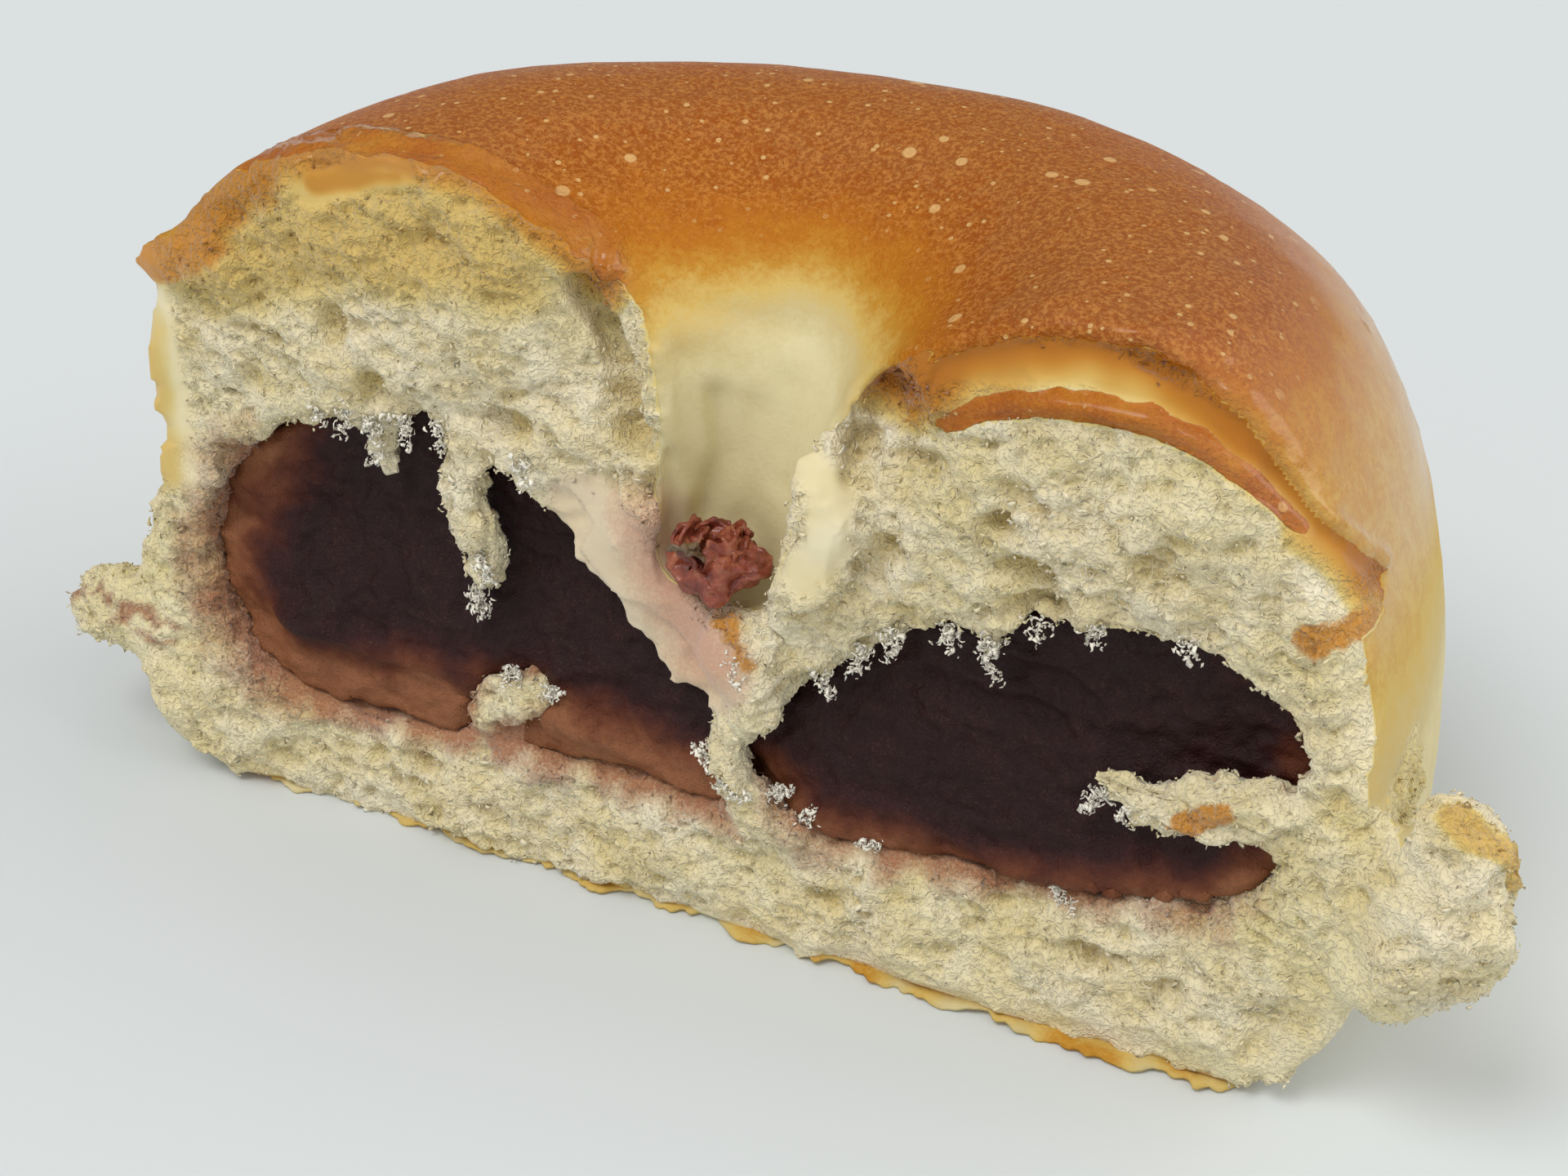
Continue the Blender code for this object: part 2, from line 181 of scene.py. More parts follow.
# On the right: the crust's torn edge, and the strip of crust that stands on the crumb
RIGHT_EDGE = (
    (11.6, 40.3), (13.8, 41.7), (16.4, 43.0), (19.4, 43.6), (22.8, 44.0), (25.3, 43.4),
    (27.9, 41.6), (30.2, 39.2), (32.5, 36.9), (35.9, 35.2),
)
SLIVER = (
    (12.4, 36.9), (14.4, 38.5), (17.0, 39.5), (20.2, 40.1), (23.4, 40.2), (26.0, 39.6),
    (28.6, 38.3), (31.4, 36.4),
)
# In the filling: the upper edge of its brown foot, and the low ridge on it
BROWN_BELOW = (
    (-34.0, 14.5), (-31.3, 12.4), (-26.1, 11.4), (-20.3, 12.2), (-13.5, 13.0), (-5.0, 12.4),
    (3.4, 12.6), (6.4, 11.0), (12.9, 10.1), (20.2, 11.1), (27.1, 13.0), (32.0, 18.0),
)
RIDGE = ((-29.5, 13.4), (-24.0, 12.6), (-17.0, 12.4), (-9.0, 11.0))
# Ragged flecks of filling on the crumb
STAINS = (
    ((-45.0, 9.6), (-41.5, 8.8), (-38.6, 8.4)),
    ((19.0, 22.6), (22.0, 23.4), (27.0, 21.4)),
)
# Smooth, dense dough: line, half width
DENSE = (
    (NAVEL_LIP, 2.6),
    (NAVEL_FLAP, 1.3),
    (((12.0, 40.4), (20.0, 42.4), (28.0, 40.2), (34.0, 35.6)), 1.2),
    (((-38.0, 34.0), (-37.2, 27.0), (-36.8, 21.0)), 1.7),
    (((-25.6, 41.4), (-22.8, 42.8), (-19.6, 43.8)), 1.0),
)
# Crumb tinted by the crust it was torn from: line, reach, strength
UNDER_RIGHT = (
    (10.0, 39.4), (12.9, 41.6), (16.4, 43.6), (19.8, 44.6), (22.8, 44.4), (26.4, 43.0),
    (30.4, 40.6), (36.0, 35.6),
)
UNDER_LEFT = (
    (-37.0, 35.0), (-31.0, 40.0), (-27.5, 43.4), (-21.0, 44.8), (-15.0, 45.0), (-10.5, 43.2),
    (-7.4, 41.0),
)
AMBER = (
    (UNDER_RIGHT, 5.2, 0.97),
    (UNDER_LEFT, 3.6, 0.85),
    (((-34.0, 36.0), (-25.0, 39.5), (-14.0, 41.0)), 8.5, 0.42),
    (((-25.2, 42.2), (-22.6, 42.8), (-19.8, 43.6)), 1.7, 0.8),
    (((-39.0, 34.0), (-38.4, 26.0), (-38.6, 20.5)), 3.8, 0.44),
    (((36.0, 35.6), (37.4, 29.0), (38.0, 22.0)), 3.4, 0.3),
    (((41.2, 21.9), (43.9, 20.1), (44.4, 19.0)), 1.4, 0.5),
)
# Grooves in the crumb, also painted with shade, and creases in the navel's skin: line, half width,
# depth
GROOVES = (
    (((-8.8, 39.6), (-7.0, 37.8), (-6.1, 35.0), (-6.0, 31.4)), 0.9, 1.4),
    (((9.6, 38.6), (8.2, 36.0), (7.6, 32.6)), 1.0, 1.0),
)
CREASES = (
    (((-0.5, 35.0), (-0.2, 31.6), (-1.4, 27.6)), 0.8, 0.8),
    (((-3.5, 30.6), (-3.4, 26.2)), 0.5, 0.6),
    (((1.6, 35.0), (1.0, 28.0)), 0.9, 0.35),
    (((-2.4, 37.0), (-2.2, 30.0)), 0.9, 0.3),
    (((3.4, 37.0), (3.0, 31.0)), 0.8, 0.25),
    (((-4.0, 40.0), (4.0, 40.4)), 0.8, 0.2),
)
# Big open cells, painted with shade as deep as they are: X, Z, half width, half height, depth
HOLLOWS = (
    (-22.2, 42.8, 2.6, 1.0, 1.0), (-24.9, 33.3, 1.0, 1.3, 1.2), (-22.6, 30.0, 1.1, 1.3, 1.0),
    (-13.9, 29.9, 1.8, 1.0, 1.4), (-30.0, 31.6, 1.6, 0.4, 0.7), (-18.6, 40.2, 2.0, 0.5, 0.7),
    (16.5, 34.0, 1.2, 1.0, 0.9), (15.4, 31.8, 1.0, 0.7, 1.3), (17.3, 29.4, 1.5, 1.0, 1.5),
    (17.9, 27.2, 1.6, 0.9, 1.3), (11.2, 34.2, 1.6, 0.9, 1.0), (23.4, 26.2, 1.8, 0.8, 1.2),
    (24.6, 31.6, 1.9, 1.1, 0.9), (9.6, 28.6, 1.0, 0.9, 0.9), (22.0, 6.0, 1.8, 1.0, 1.1),
    (6.0, 4.2, 1.3, 0.7, 1.0), (-21.0, 4.6, 1.4, 0.7, 0.9),
)
# Spots of crust that stick to the crumb: start, end, half width
BROWN_SPOTS = (
    ((32.2, 30.0), (35.4, 32.2), 1.0),
    ((27.0, 16.8), (28.8, 18.2), 0.9),
    ((0.0, 20.8), (0.9, 19.0), 1.1),
    ((-37.6, 34.0), (-33.0, 36.4), 1.6),
)

# The base's skin: from X to X, and how far it stands out in front of the crumb along them
BASE_SKIN = (-34.0, 31.0)
BASE_SKIN_STEPS = 260
BASE_SKIN_OUT = (
    (-34.0, -0.4), (-30.0, 0.3), (-26.0, 0.5), (-20.0, 0.2), (-12.0, 0.3), (-8.0, 0.5),
    (-2.0, 0.1), (3.0, 0.5), (7.0, 0.1), (11.5, 0.9), (16.0, 0.3), (20.0, 1.0), (25.0, 1.5),
    (29.0, 0.9), (31.0, -0.4),
)

# The filling
PASTE_VOXEL = 0.7
PASTE_FULLER = 0.3  # stands out that much all over
KNOB = (-28.4, 12.6)  # X, Z of the lump at its left end

# The blossom
PETALS = 11
PETAL_SIZE = (2.3, 1.7)
SEPAL_SIZE = (1.2, 2.0)
BLOSSOM = (-0.9, 0.2, 25.0)
SEPAL = (-1.3, -1.3, 25.9)

# Tufts of crumb over the filling: X, Z of the root, length, rags, turn from straight down
HANGING = (
    (-26.2, 28.6, 1.8, 12, 0.2), (-24.0, 28.6, 2.2, 12, 0.0), (-22.2, 27.8, 3.2, 16, -0.1),
    (-20.4, 28.6, 2.0, 12, 0.2), (-18.4, 28.0, 1.8, 10, 0.0), (-12.6, 28.4, 1.8, 12, -0.2),
    (-15.8, 21.0, 1.8, 14, 0.3), (-16.6, 17.6, 1.6, 16, 0.2), (5.6, 20.0, 1.6, 12, 0.3),
    (7.6, 22.0, 1.6, 12, 0.1), (10.0, 23.4, 1.6, 14, -0.1), (12.6, 24.6, 1.4, 12, 0.1),
    (15.6, 25.0, 2.4, 16, 0.0), (18.2, 26.8, 1.2, 8, 0.0), (21.4, 27.8, 1.0, 8, 0.2),
    (26.4, 28.2, 1.2, 8, 0.0), (18.9, 15.2, 1.6, 12, -0.6), (19.6, 12.6, 1.4, 10, 0.4),
    (23.0, 15.4, 1.4, 10, 2.6), (-2.0, 13.0, 1.6, 14, 0.4), (0.4, 11.6, 1.6, 14, 1.2),
    (3.4, 11.2, 1.5, 14, 2.6), (6.2, 10.6, 1.5, 14, 2.8), (8.2, 9.2, 1.3, 10, 2.2),
    (-14.6, 13.6, 1.0, 10, 2.8), (-11.6, 13.0, 1.0, 8, 2.0), (0.6, 21.2, 2.4, 30, 0.1),
    (1.6, 20.0, 1.6, 20, 0.3),
)
HANGING_WIDTH = 0.38
HANGING_SIZES = (0.15, 0.34)
HANGING_COUNT = 6  # times the rags of the table

# Rags: torn cell walls that stand on the crumb
RAG_KINDS = 14
RAG_STEPS = 3
RAG_THICKNESS = 0.11
RAG_TURN = (0.7, 2.6)
RAG_TALL = (0.35, 0.85)
RAG_APART = 0.43
RAG_SIZES = (0.15, 0.34)


def sight_back():
    """The direction from the target to the camera."""
    azimuth, elevation = math.radians(VIEW_AZIMUTH), math.radians(VIEW_ELEVATION)
    flat = math.cos(elevation)
    return Vector((math.sin(azimuth) * flat, -math.cos(azimuth) * flat, math.sin(elevation)))


SIGHT_BACK = sight_back()
EYE = Vector(VIEW_TARGET) + SIGHT_BACK * VIEW_DISTANCE


def smooth_step(low, high, value):
    share = min(1.0, max(0.0, (value - low) / (high - low)))
    return share * share * (3 - 2 * share)


def hump(away, wide):
    """1 on a line, falling smoothly to nearly 0 at twice the width from it."""
    return math.exp(-((away / wide) ** 2))


def wave(spot, size, shift=0.0):
    """Smooth noise from -1 to 1 whose swells are about that many millimetres apart."""
    return noise.noise(Vector((spot[0] + shift, spot[1] - shift, spot[2] + shift)) / size)


def along(value, table):
    """A value read off a table of (position, value) pairs."""
    if value <= table[0][0]:
        return table[0][1]
    for (low, first), (high, last) in zip(table, table[1:]):
        if value <= high:
            return first + (last - first) * (value - low) / (high - low)
    return table[-1][1]


@functools.lru_cache(maxsize=None)
def line_box(points):
    across, up = [point[0] for point in points], [point[1] for point in points]
    return min(across) - FAR, max(across) + FAR, min(up) - FAR, max(up) + FAR


def line_distance(x, z, points):
    """Distance from a place on the face to a line of X, Z points, and the share of it passed."""
    left, right, low, high = line_box(points)
    if not (left < x < right and low < z < high):
        return FAR, 0.0
    best, share = FAR, 0.0
    spans = len(points) - 1
    for index, (start, end) in enumerate(zip(points, points[1:])):
        run = (end[0] - start[0], end[1] - start[1])
        length = run[0] ** 2 + run[1] ** 2
        t = ((x - start[0]) * run[0] + (z - start[1]) * run[1]) / length
        t = min(1.0, max(0.0, t))
        away = math.hypot(x - start[0] - run[0] * t, z - start[1] - run[1] * t)
        if away < best:
            best, share = away, (index + t) / spans
    return best, share


def on_tear(spot):
    """X, Z where the camera's sight line through a place meets the torn face's plane."""
    reach = EYE.y / (EYE.y - spot.y)
    return EYE.x + (spot.x - EYE.x) * reach, EYE.z + (spot.z - EYE.z) * reach


# ---------------------------------------------------------------- frame and camera


def to_bun(builder):
    bmesh.ops.scale(builder, vec=(1 / MM,) * 3, verts=builder.verts)
    bmesh.ops.translate(builder, vec=(0, SETBACK, 0), verts=builder.verts)


def to_frame(builder):
    bmesh.ops.translate(builder, vec=(0, -SETBACK, 0), verts=builder.verts)
    bmesh.ops.scale(builder, vec=(MM,) * 3, verts=builder.verts)


def node_copy(node):
    """A CAD node's mesh as one merged surface, in the bun's millimetres."""
    builder = bmesh.new()
    builder.from_mesh(frame["nodes"][node].data)
    bmesh.ops.remove_doubles(builder, verts=builder.verts, dist=1e-7)
    to_bun(builder)
    return builder


def node_tree(node):
    """A search tree over a CAD node, in the bun's millimetres."""
    builder = node_copy(node)
    tree = BVHTree.FromBMesh(builder)
    builder.free()
    return tree


def new_object(name, builder):
    """An object in the scene, with the mesh that the builder holds."""
    mesh = bpy.data.meshes.new(name)
    builder.to_mesh(mesh)
    builder.free()
    thing = bpy.data.objects.new(name, mesh)
    bpy.context.scene.collection.objects.link(thing)
    return thing


def modified(builder, kind, **settings):
    """The mesh that a modifier makes of the one that the builder holds."""
    rough = new_object("rough", builder)
    modifier = rough.modifiers.new("change", kind)
    for name, value in settings.items():
        setattr(modifier, name, value)
    bpy.context.view_layer.objects.active = rough
    bpy.ops.object.modifier_apply(modifier=modifier.name)
    fine = bmesh.new()
    fine.from_mesh(rough.data)
    bpy.data.objects.remove(rough)
    return fine


def remeshed(builder, voxel):
    """The same closed surface in even small faces."""
    return modified(builder, "REMESH", mode="VOXEL", voxel_size=voxel)


def thicken(builder, thickness):
    """Gives an open sheet a second side and a rim, however sharply it is folded."""
    bmesh.ops.recalc_face_normals(builder, faces=builder.faces)
    builder.normal_update()
    rim = [edge for edge in builder.edges if edge.is_boundary]
    sheet = builder.verts[:] + builder.edges[:] + builder.faces[:]
    away = {vert: vert.co - vert.normal * thickness for vert in builder.verts}
    copy = bmesh.ops.duplicate(builder, geom=sheet)
    for vert, place in away.items():
        copy["vert_map"][vert].co = place
    backs = [part for part in copy["geom"] if isinstance(part, bmesh.types.BMFace)]
    bmesh.ops.reverse_faces(builder, faces=backs)
    rim += [copy["edge_map"][edge] for edge in rim]
    bmesh.ops.bridge_loops(builder, edges=rim)
    bmesh.ops.recalc_face_normals(builder, faces=builder.faces)


def refined(builder, wanted, times):
    """Splits the wanted faces into four, so many times."""
    for _ in range(times):
        faces = [face for face in builder.faces if wanted(face)]
        edges = dict.fromkeys(edge for face in faces for edge in face.edges)
        bmesh.ops.subdivide_edges(builder, edges=list(edges), cuts=1, use_grid_fill=True)


def new_piece(name, builder, materials, slot, *nodes):
    """A piece of the bun, in the frame, riding on the one body in place of those nodes."""
    to_frame(builder)
    bmesh.ops.triangulate(builder, faces=[face for face in builder.faces if len(face.verts) > 4])
    piece = new_object(name, builder)
    for material in materials:
        piece.data.materials.append(material)
    piece.data.shade_smooth()
    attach(piece, "root")
    if nodes:
        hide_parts(*nodes)


def add_camera():
    roll = Matrix.Rotation(math.radians(VIEW_ROLL), 4, "Z").to_quaternion()
    lens = bpy.data.cameras.new("camera")
    lens.sensor_width = 36.0
    lens.lens = VIEW_LENS
    lens.clip_start = 0.01
    camera = bpy.data.objects.new("camera", lens)
    place = (EYE - Vector((0, SETBACK, 0))) * MM
    turn = SIGHT_BACK.to_track_quat("Z", "Y") @ roll
    camera.matrix_world = Matrix.LocRotScale(place, turn, None)
    bpy.context.scene.collection.objects.link(camera)
    bpy.context.scene.camera = camera


# ---------------------------------------------------------------- shader helpers


def plug(tree, socket, value):
    """Links an input to a socket, or sets it to a value, a colour being given without alpha."""
    if isinstance(value, bpy.types.NodeSocket):
        tree.links.new(value, socket)
    else:
        socket.default_value = (*value, 1) if socket.type == "RGBA" else value


def new_node(tree, kind, inputs, **settings):
    """A node with its settings, and with a value or a link on each of the inputs named."""
    node = tree.nodes.new(kind)
    for name, value in settings.items():
        setattr(node, name, value)
    for name, value in inputs.items():
        plug(tree, node.inputs[name], value)
    return node


def attribute(tree, name):
    return new_node(tree, "ShaderNodeAttribute", {}, attribute_name=name).outputs["Fac"]


def ramp(tree, factor, stops):
    """A colour ramp over (position, colour) stops."""
    node = new_node(tree, "ShaderNodeValToRGB", {0: factor})
    line = node.color_ramp
    while len(line.elements) < len(stops):
        line.elements.new(0.5)
    for element, (position, colour) in zip(line.elements, stops):
        element.position = position
        element.color = (*colour, 1)
    return node.outputs["Color"]


def blend(tree, factor, first, second):
    """Mixes two colours, each a socket or an RGB value."""
    values = {0: factor, 6: first, 7: second}
    return new_node(tree, "ShaderNodeMix", values, data_type="RGBA").outputs[2]


def calc(tree, operation, first, second=0.0, third=0.0, clamp=False):
    values = {0: first, 1: second, 2: third}
    return new_node(tree, "ShaderNodeMath", values, operation=operation, use_clamp=clamp).outputs[0]


def spread(tree, value, low, high, to_low=0.0, to_high=1.0):
    """Maps a range of values smoothly to another one."""
    values = dict(enumerate((value, low, high, to_low, to_high)))
    mapped = new_node(tree, "ShaderNodeMapRange", values, interpolation_type="SMOOTHSTEP")
    return mapped.outputs[0]


def places(tree):
    """Object coordinates in millimetres."""
    metres = tree.nodes.new("ShaderNodeTexCoord").outputs["Object"]
    values = {0: metres, "Scale": 1 / MM}
    return new_node(tree, "ShaderNodeVectorMath", values, operation="SCALE").outputs[0]


def noise_at(tree, spot, size, detail=3.0, rough=0.55):
    values = {"Vector": spot, "Scale": 1 / size, "Detail": detail, "Roughness": rough}
    return new_node(tree, "ShaderNodeTexNoise", values).outputs["Fac"]


def cells_at(tree, spot, size):
    """Distance from the walls of cells, in cells."""
    values = {"Vector": spot, "Scale": 1 / size}
    cells = new_node(tree, "ShaderNodeTexVoronoi", values, feature="DISTANCE_TO_EDGE")
    return cells.outputs["Distance"]


def bump(tree, height, distance, strength):
    values = {"Height": height, "Distance": distance * MM, "Strength": strength}
    return new_node(tree, "ShaderNodeBump", values).outputs["Normal"]


def new_group(name, kind, inputs, outputs):
    """An empty node group, with the kinds of its sockets by name, and its two end nodes."""
    tree = bpy.data.node_groups.new(name, kind)
    for sockets, side in ((inputs, "INPUT"), (outputs, "OUTPUT")):
        for socket, socket_kind in sockets.items():
            tree.interface.new_socket(socket, in_out=side, socket_type=socket_kind)
    return tree, tree.nodes.new("NodeGroupInput"), tree.nodes.new("NodeGroupOutput")


def placed(tree, group, **values):
    """What a group's node gives out in a material's tree, with its inputs plugged in."""
    group = bpy.data.node_groups[group]
    return new_node(tree, "ShaderNodeGroup", values, node_tree=group).outputs[0]


def new_material(name, roughness):
    material = bpy.data.materials.new(name)
    material.use_nodes = True
    shader = material.node_tree.nodes["Principled BSDF"]
    shader.inputs["Roughness"].default_value = roughness
    return material, shader


# ---------------------------------------------------------------- materials


def build_torn_line():
    """Group: 1 on torn crumb and 0 on skin, with a ragged line between them."""
    outputs = {"Torn": "NodeSocketFloat"}
    tree, _, end = new_group("torn_line", "ShaderNodeTree", {}, outputs)
    ragged = noise_at(tree, places(tree), 0.5, 3.0, 0.7)
    torn = calc(tree, "MULTIPLY_ADD", ragged, 0.5, attribute(tree, "torn"))
    tree.links.new(spread(tree, torn, 0.66, 0.84), end.inputs["Torn"])


def build_crumb_tints():
    """Group: yellow patches, the tone under the crust, and stains over the crumb's colour."""
    inputs = {"Colour": "NodeSocketColor", "Uneven": "NodeSocketFloat"}
    outputs = {"Colour": "NodeSocketColor"}
    tree, start, end = new_group("crumb_tints", "ShaderNodeTree", inputs, outputs)
    colour = blend(tree, attribute(tree, "yellow"), start.outputs["Colour"], YELLOW_TONE)
    under = attribute(tree, "under_crust")
    colour = blend(tree, spread(tree, under, 0.03, 0.4), colour, ramp(tree, under, UNDER_CRUST_TONES))
    for name, most, tone in CRUMB_TINTS:
        share = attribute(tree, name)
        mask = calc(tree, "MULTIPLY_ADD", start.outputs["Uneven"], 0.6, share)
        mask = calc(tree, "MULTIPLY", mask, spread(tree, share, 0.0, 0.3), clamp=True)
        colour = blend(tree, calc(tree, "MULTIPLY", mask, most), colour, tone)
    tree.links.new(colour, end.inputs["Colour"])


def blisters(tree, spot, apart, widest, loose=0.97):
    """A mask of round dots of many sizes, with most cells left empty."""
    values = {"Vector": spot, "Scale": 1 / apart, "Randomness": loose}
    cells = new_node(tree, "ShaderNodeTexVoronoi", values)
    parts = new_node(tree, "ShaderNodeSeparateColor", {0: cells.outputs["Color"]})
    reach = spread(tree, parts.outputs[0], 0.45, 1.0, 0.0, widest)
    return spread(tree, calc(tree, "SUBTRACT", reach, cells.outputs["Distance"]), 0.0, 0.07)


def baked_look(tree, spot):
    """Colour, roughness and relief of the skin: brown crown, gold mouth, cream below."""
    raw = attribute(tree, "bake")
    mottle = noise_at(tree, spot, 1.4, 3.0, 0.62)
    fine = noise_at(tree, spot, 0.33, 2.0, 0.6)
    swing = spread(tree, raw, 0.1, 0.7, 0.02, 0.09)
    uneven = calc(tree, "ADD", calc(tree, "MULTIPLY", mottle, 0.6), calc(tree, "MULTIPLY", fine, 0.4))
    bake = calc(tree, "MULTIPLY_ADD", spread(tree, uneven, 0.35, 0.65, -1, 1), swing, raw, clamp=True)
    colour = ramp(tree, bake, BAKED_TONES)
    browned = spread(tree, bake, 0.4, 0.8)
    grain = spread(tree, noise_at(tree, spot, 0.3, 2.0, 0.8), 0.36, 0.66)
    light = blend(tree, 0.34, colour, GRAIN_LIGHT)
    dark = blend(tree, 0.36, colour, GRAIN_DARK)
    gloss = attribute(tree, "gloss")
    matt = calc(tree, "MULTIPLY", browned, calc(tree, "MULTIPLY_ADD", gloss, -0.75, 1.0))
    colour = blend(tree, matt, colour, blend(tree, grain, dark, light))
    dots = calc(tree, "MAXIMUM", blisters(tree, spot, 1.7, 0.28), blisters(tree, spot, 0.7, 0.3))
    dots = calc(tree, "MULTIPLY", dots, browned)
    colour = blend(tree, calc(tree, "MULTIPLY", dots, 0.75), colour, BLISTER_TONE)
    specks = calc(tree, "MULTIPLY", blisters(tree, spot, 0.9, 0.11, 0.89), browned)
    colour = blend(tree, calc(tree, "MULTIPLY", specks, 0.6), colour, SPECK_TONE)
    blush = calc(tree, "MULTIPLY", attribute(tree, "blush"), 0.55)
    colour = blend(tree, blush, colour, BLUSH_TONE)
    relief = calc(tree, "MULTIPLY_ADD", fine, 0.7, calc(tree, "MULTIPLY", dots, 0.5))
    relief = calc(tree, "ADD", relief, mottle)
    relief = calc(tree, "MULTIPLY_ADD", grain, 0.5, relief)
    relief = calc(tree, "MULTIPLY", relief, spread(tree, bake, 0.1, 0.6, 0.15, 1.0))
    wrinkles = calc(tree, "MULTIPLY", noise_at(tree, spot, 0.4, 1.0), gloss)
    relief = calc(tree, "MULTIPLY_ADD", wrinkles, 3.0, relief)
    return colour, spread(tree, bake, 0.15, 0.7, 0.6, 0.38), relief


def crumb_look(tree, spot):
    """Colour, roughness and relief of the crumb: cream walls, with painted shade that turns the cells
    olive yellow.
    """
    bend = new_node(tree, "ShaderNodeTexNoise", {"Vector": spot, "Scale": 1.6, "Detail": 1.0})
    warped = new_node(tree, "ShaderNodeVectorMath", {0: spot, 1: bend.outputs["Color"]}).outputs[0]
    fine = spread(tree, cells_at(tree, warped, 0.36), 0.02, 0.34)
    middling = spread(tree, cells_at(tree, warped, 0.8), 0.02, 0.22)
    fine = calc(tree, "MULTIPLY_ADD", fine, 0.5, calc(tree, "MULTIPLY", middling, 0.5))
    grain = noise_at(tree, spot, 0.2, 2.0, 0.7)
    dense = attribute(tree, "dense")
    open_share = calc(tree, "SUBTRACT", 1.0, dense)
    # Painted shade in the cells, less at the tips of torn walls
    pore = calc(tree, "MULTIPLY_ADD", attribute(tree, "tip"), -0.4, attribute(tree, "pore"))
    # Finer painted shade: darker in the middles of small cells, lighter on their rims
    fine_pore = calc(tree, "SUBTRACT", fine, 0.5)
    grainy = spread(tree, grain, 0.3, 0.75, -0.1, 0.12)
    fine_pore = calc(tree, "MULTIPLY_ADD", fine_pore, 0.42, grainy)
    pore = calc(tree, "MULTIPLY_ADD", fine_pore, open_share, pore, clamp=True)
    colour = ramp(tree, pore, CRUMB_TONES)
    uneven = spread(tree, grain, 0.3, 0.7, -0.3, 0.3)
    colour = placed(tree, "crumb_tints", Colour=colour, Uneven=uneven)
    relief = calc(tree, "MULTIPLY_ADD", grain, 0.5, calc(tree, "MULTIPLY", fine, -1.6))
    return colour, 0.8, calc(tree, "MULTIPLY", relief, open_share)


def bread_material(name, is_skin):
    """Skin or crumb, each with the other's tone past the ragged line between them."""
    material, shader = new_material(name, 0.5)
    tree = material.node_tree
    spot = places(tree)
    if is_skin:
        skin, skin_rough, skin_relief = baked_look(tree, spot)
        inner = ramp(tree, attribute(tree, "under_crust"), UNDER_CRUST_TONES)
        inner_rough, inner_relief = 0.7, 0.5
    else:
        skin = ramp(tree, attribute(tree, "bake"), BAKED_TONES)
        skin_rough, skin_relief = 0.5, 0.5
        inner, inner_rough, inner_relief = crumb_look(tree, spot)
    torn = placed(tree, "torn_line")
    tree.links.new(blend(tree, torn, skin, inner), shader.inputs["Base Color"])
    roughness = spread(tree, torn, 0.0, 1.0, skin_rough, inner_rough)
    tree.links.new(roughness, shader.inputs["Roughness"])
    relief = spread(tree, torn, 0.0, 1.0, skin_relief, inner_relief)
    tree.links.new(bump(tree, relief, *BREAD_RELIEF), shader.inputs["Normal"])
    gloss = calc(tree, "MULTIPLY", attribute(tree, "gloss"), 0.6)
    coat = calc(tree, "MAXIMUM", gloss, attribute(tree, "sheen"))
    tree.links.new(spread(tree, coat, 0.0, 1.0, 0.0, 1.0), shader.inputs["Coat Weight"])
    shader.inputs["Coat Roughness"].default_value = 0.2
    shader.inputs["Specular IOR Level"].default_value = 0.08
    if not is_skin:
        shader.inputs["Sheen Weight"].default_value = 0.3
    return material


def rag_material():
    """The thin torn walls: the crumb's tones without its cells, with the same painted shade, painted
    lighter at their tips.
    """
    material, shader = new_material("torn_walls", 0.8)
    tree = material.node_tree
    # Painted shade, lighter at the wall tips
    pore = calc(tree, "MULTIPLY_ADD", attribute(tree, "tip"), -0.6, attribute(tree, "pore"), clamp=True)
    colour = ramp(tree, pore, RAG_TONES)
    colour = placed(tree, "crumb_tints", Colour=colour, Uneven=0.0)
    tree.links.new(colour, shader.inputs["Base Color"])
    shader.inputs["Specular IOR Level"].default_value = 0.2
    shader.inputs["Sheen Weight"].default_value = 0.25
    return material


def paste_material():
    """Dark bean paste: satin, faintly sparkling, patchy, with a red-brown thin edge."""
    material, shader = new_material("bean_paste", 0.42)
    shader.inputs["Specular IOR Level"].default_value = 0.16
    tree = material.node_tree
    spot = places(tree)
    smear = noise_at(tree, spot, 2.0, 4.0, 0.65)
    uneven = spread(tree, smear, 0.3, 0.7, -0.1, 0.1)
    edge = calc(tree, "ADD", attribute(tree, "edge"), uneven, clamp=True)
    colour = ramp(tree, edge, PASTE_TONES)
    grain = noise_at(tree, spot, 0.16, 2.0, 0.7)
    patchy = spread(tree, smear, 0.35, 0.65, 0.1, 0.6)
    pale = calc(tree, "MULTIPLY", spread(tree, grain, 0.5, 0.75), patchy)
    colour = blend(tree, pale, colour, PASTE_PALE)
    tree.links.new(colour, shader.inputs["Base Color"])
    relief = calc(tree, "MULTIPLY_ADD", smear, 1.5, grain)
    tree.links.new(bump(tree, relief, *PASTE_RELIEF), shader.inputs["Normal"])
    return material


def blossom_material(name, tones):
    """Wet, crushed leaf, darker in its folds."""
    material, shader = new_material(name, 0.3)
    tree = material.node_tree
    spot = places(tree)
    colour = ramp(tree, noise_at(tree, spot, 1.1, 4.0, 0.7), tones)
    tree.links.new(colour, shader.inputs["Base Color"])
    creases = bump(tree, noise_at(tree, spot, 0.4), *BLOSSOM_RELIEF)
    tree.links.new(creases, shader.inputs["Normal"])
    return material


# ---------------------------------------------------------------- bread


def navel_radius(height):
    rise = min(1.0, max(0.0, (height - NAVEL_FLOOR) / (NAVEL_TOP - NAVEL_FLOOR)))
    return NAVEL_RADIUS + (NAVEL_MOUTH - NAVEL_RADIUS) * rise**5


def navel_reach(spot):
    """Distance from the navel's axis, and the navel's own radius at that height."""
    rise = smooth_step(NAVEL_FLOOR, NAVEL_TOP - 6, spot.z)
    lean = NAVEL_LEAN[0] + (NAVEL_LEAN[1] - NAVEL_LEAN[0]) * rise
    return math.hypot(spot.x - lean, spot.y), navel_radius(spot.z)


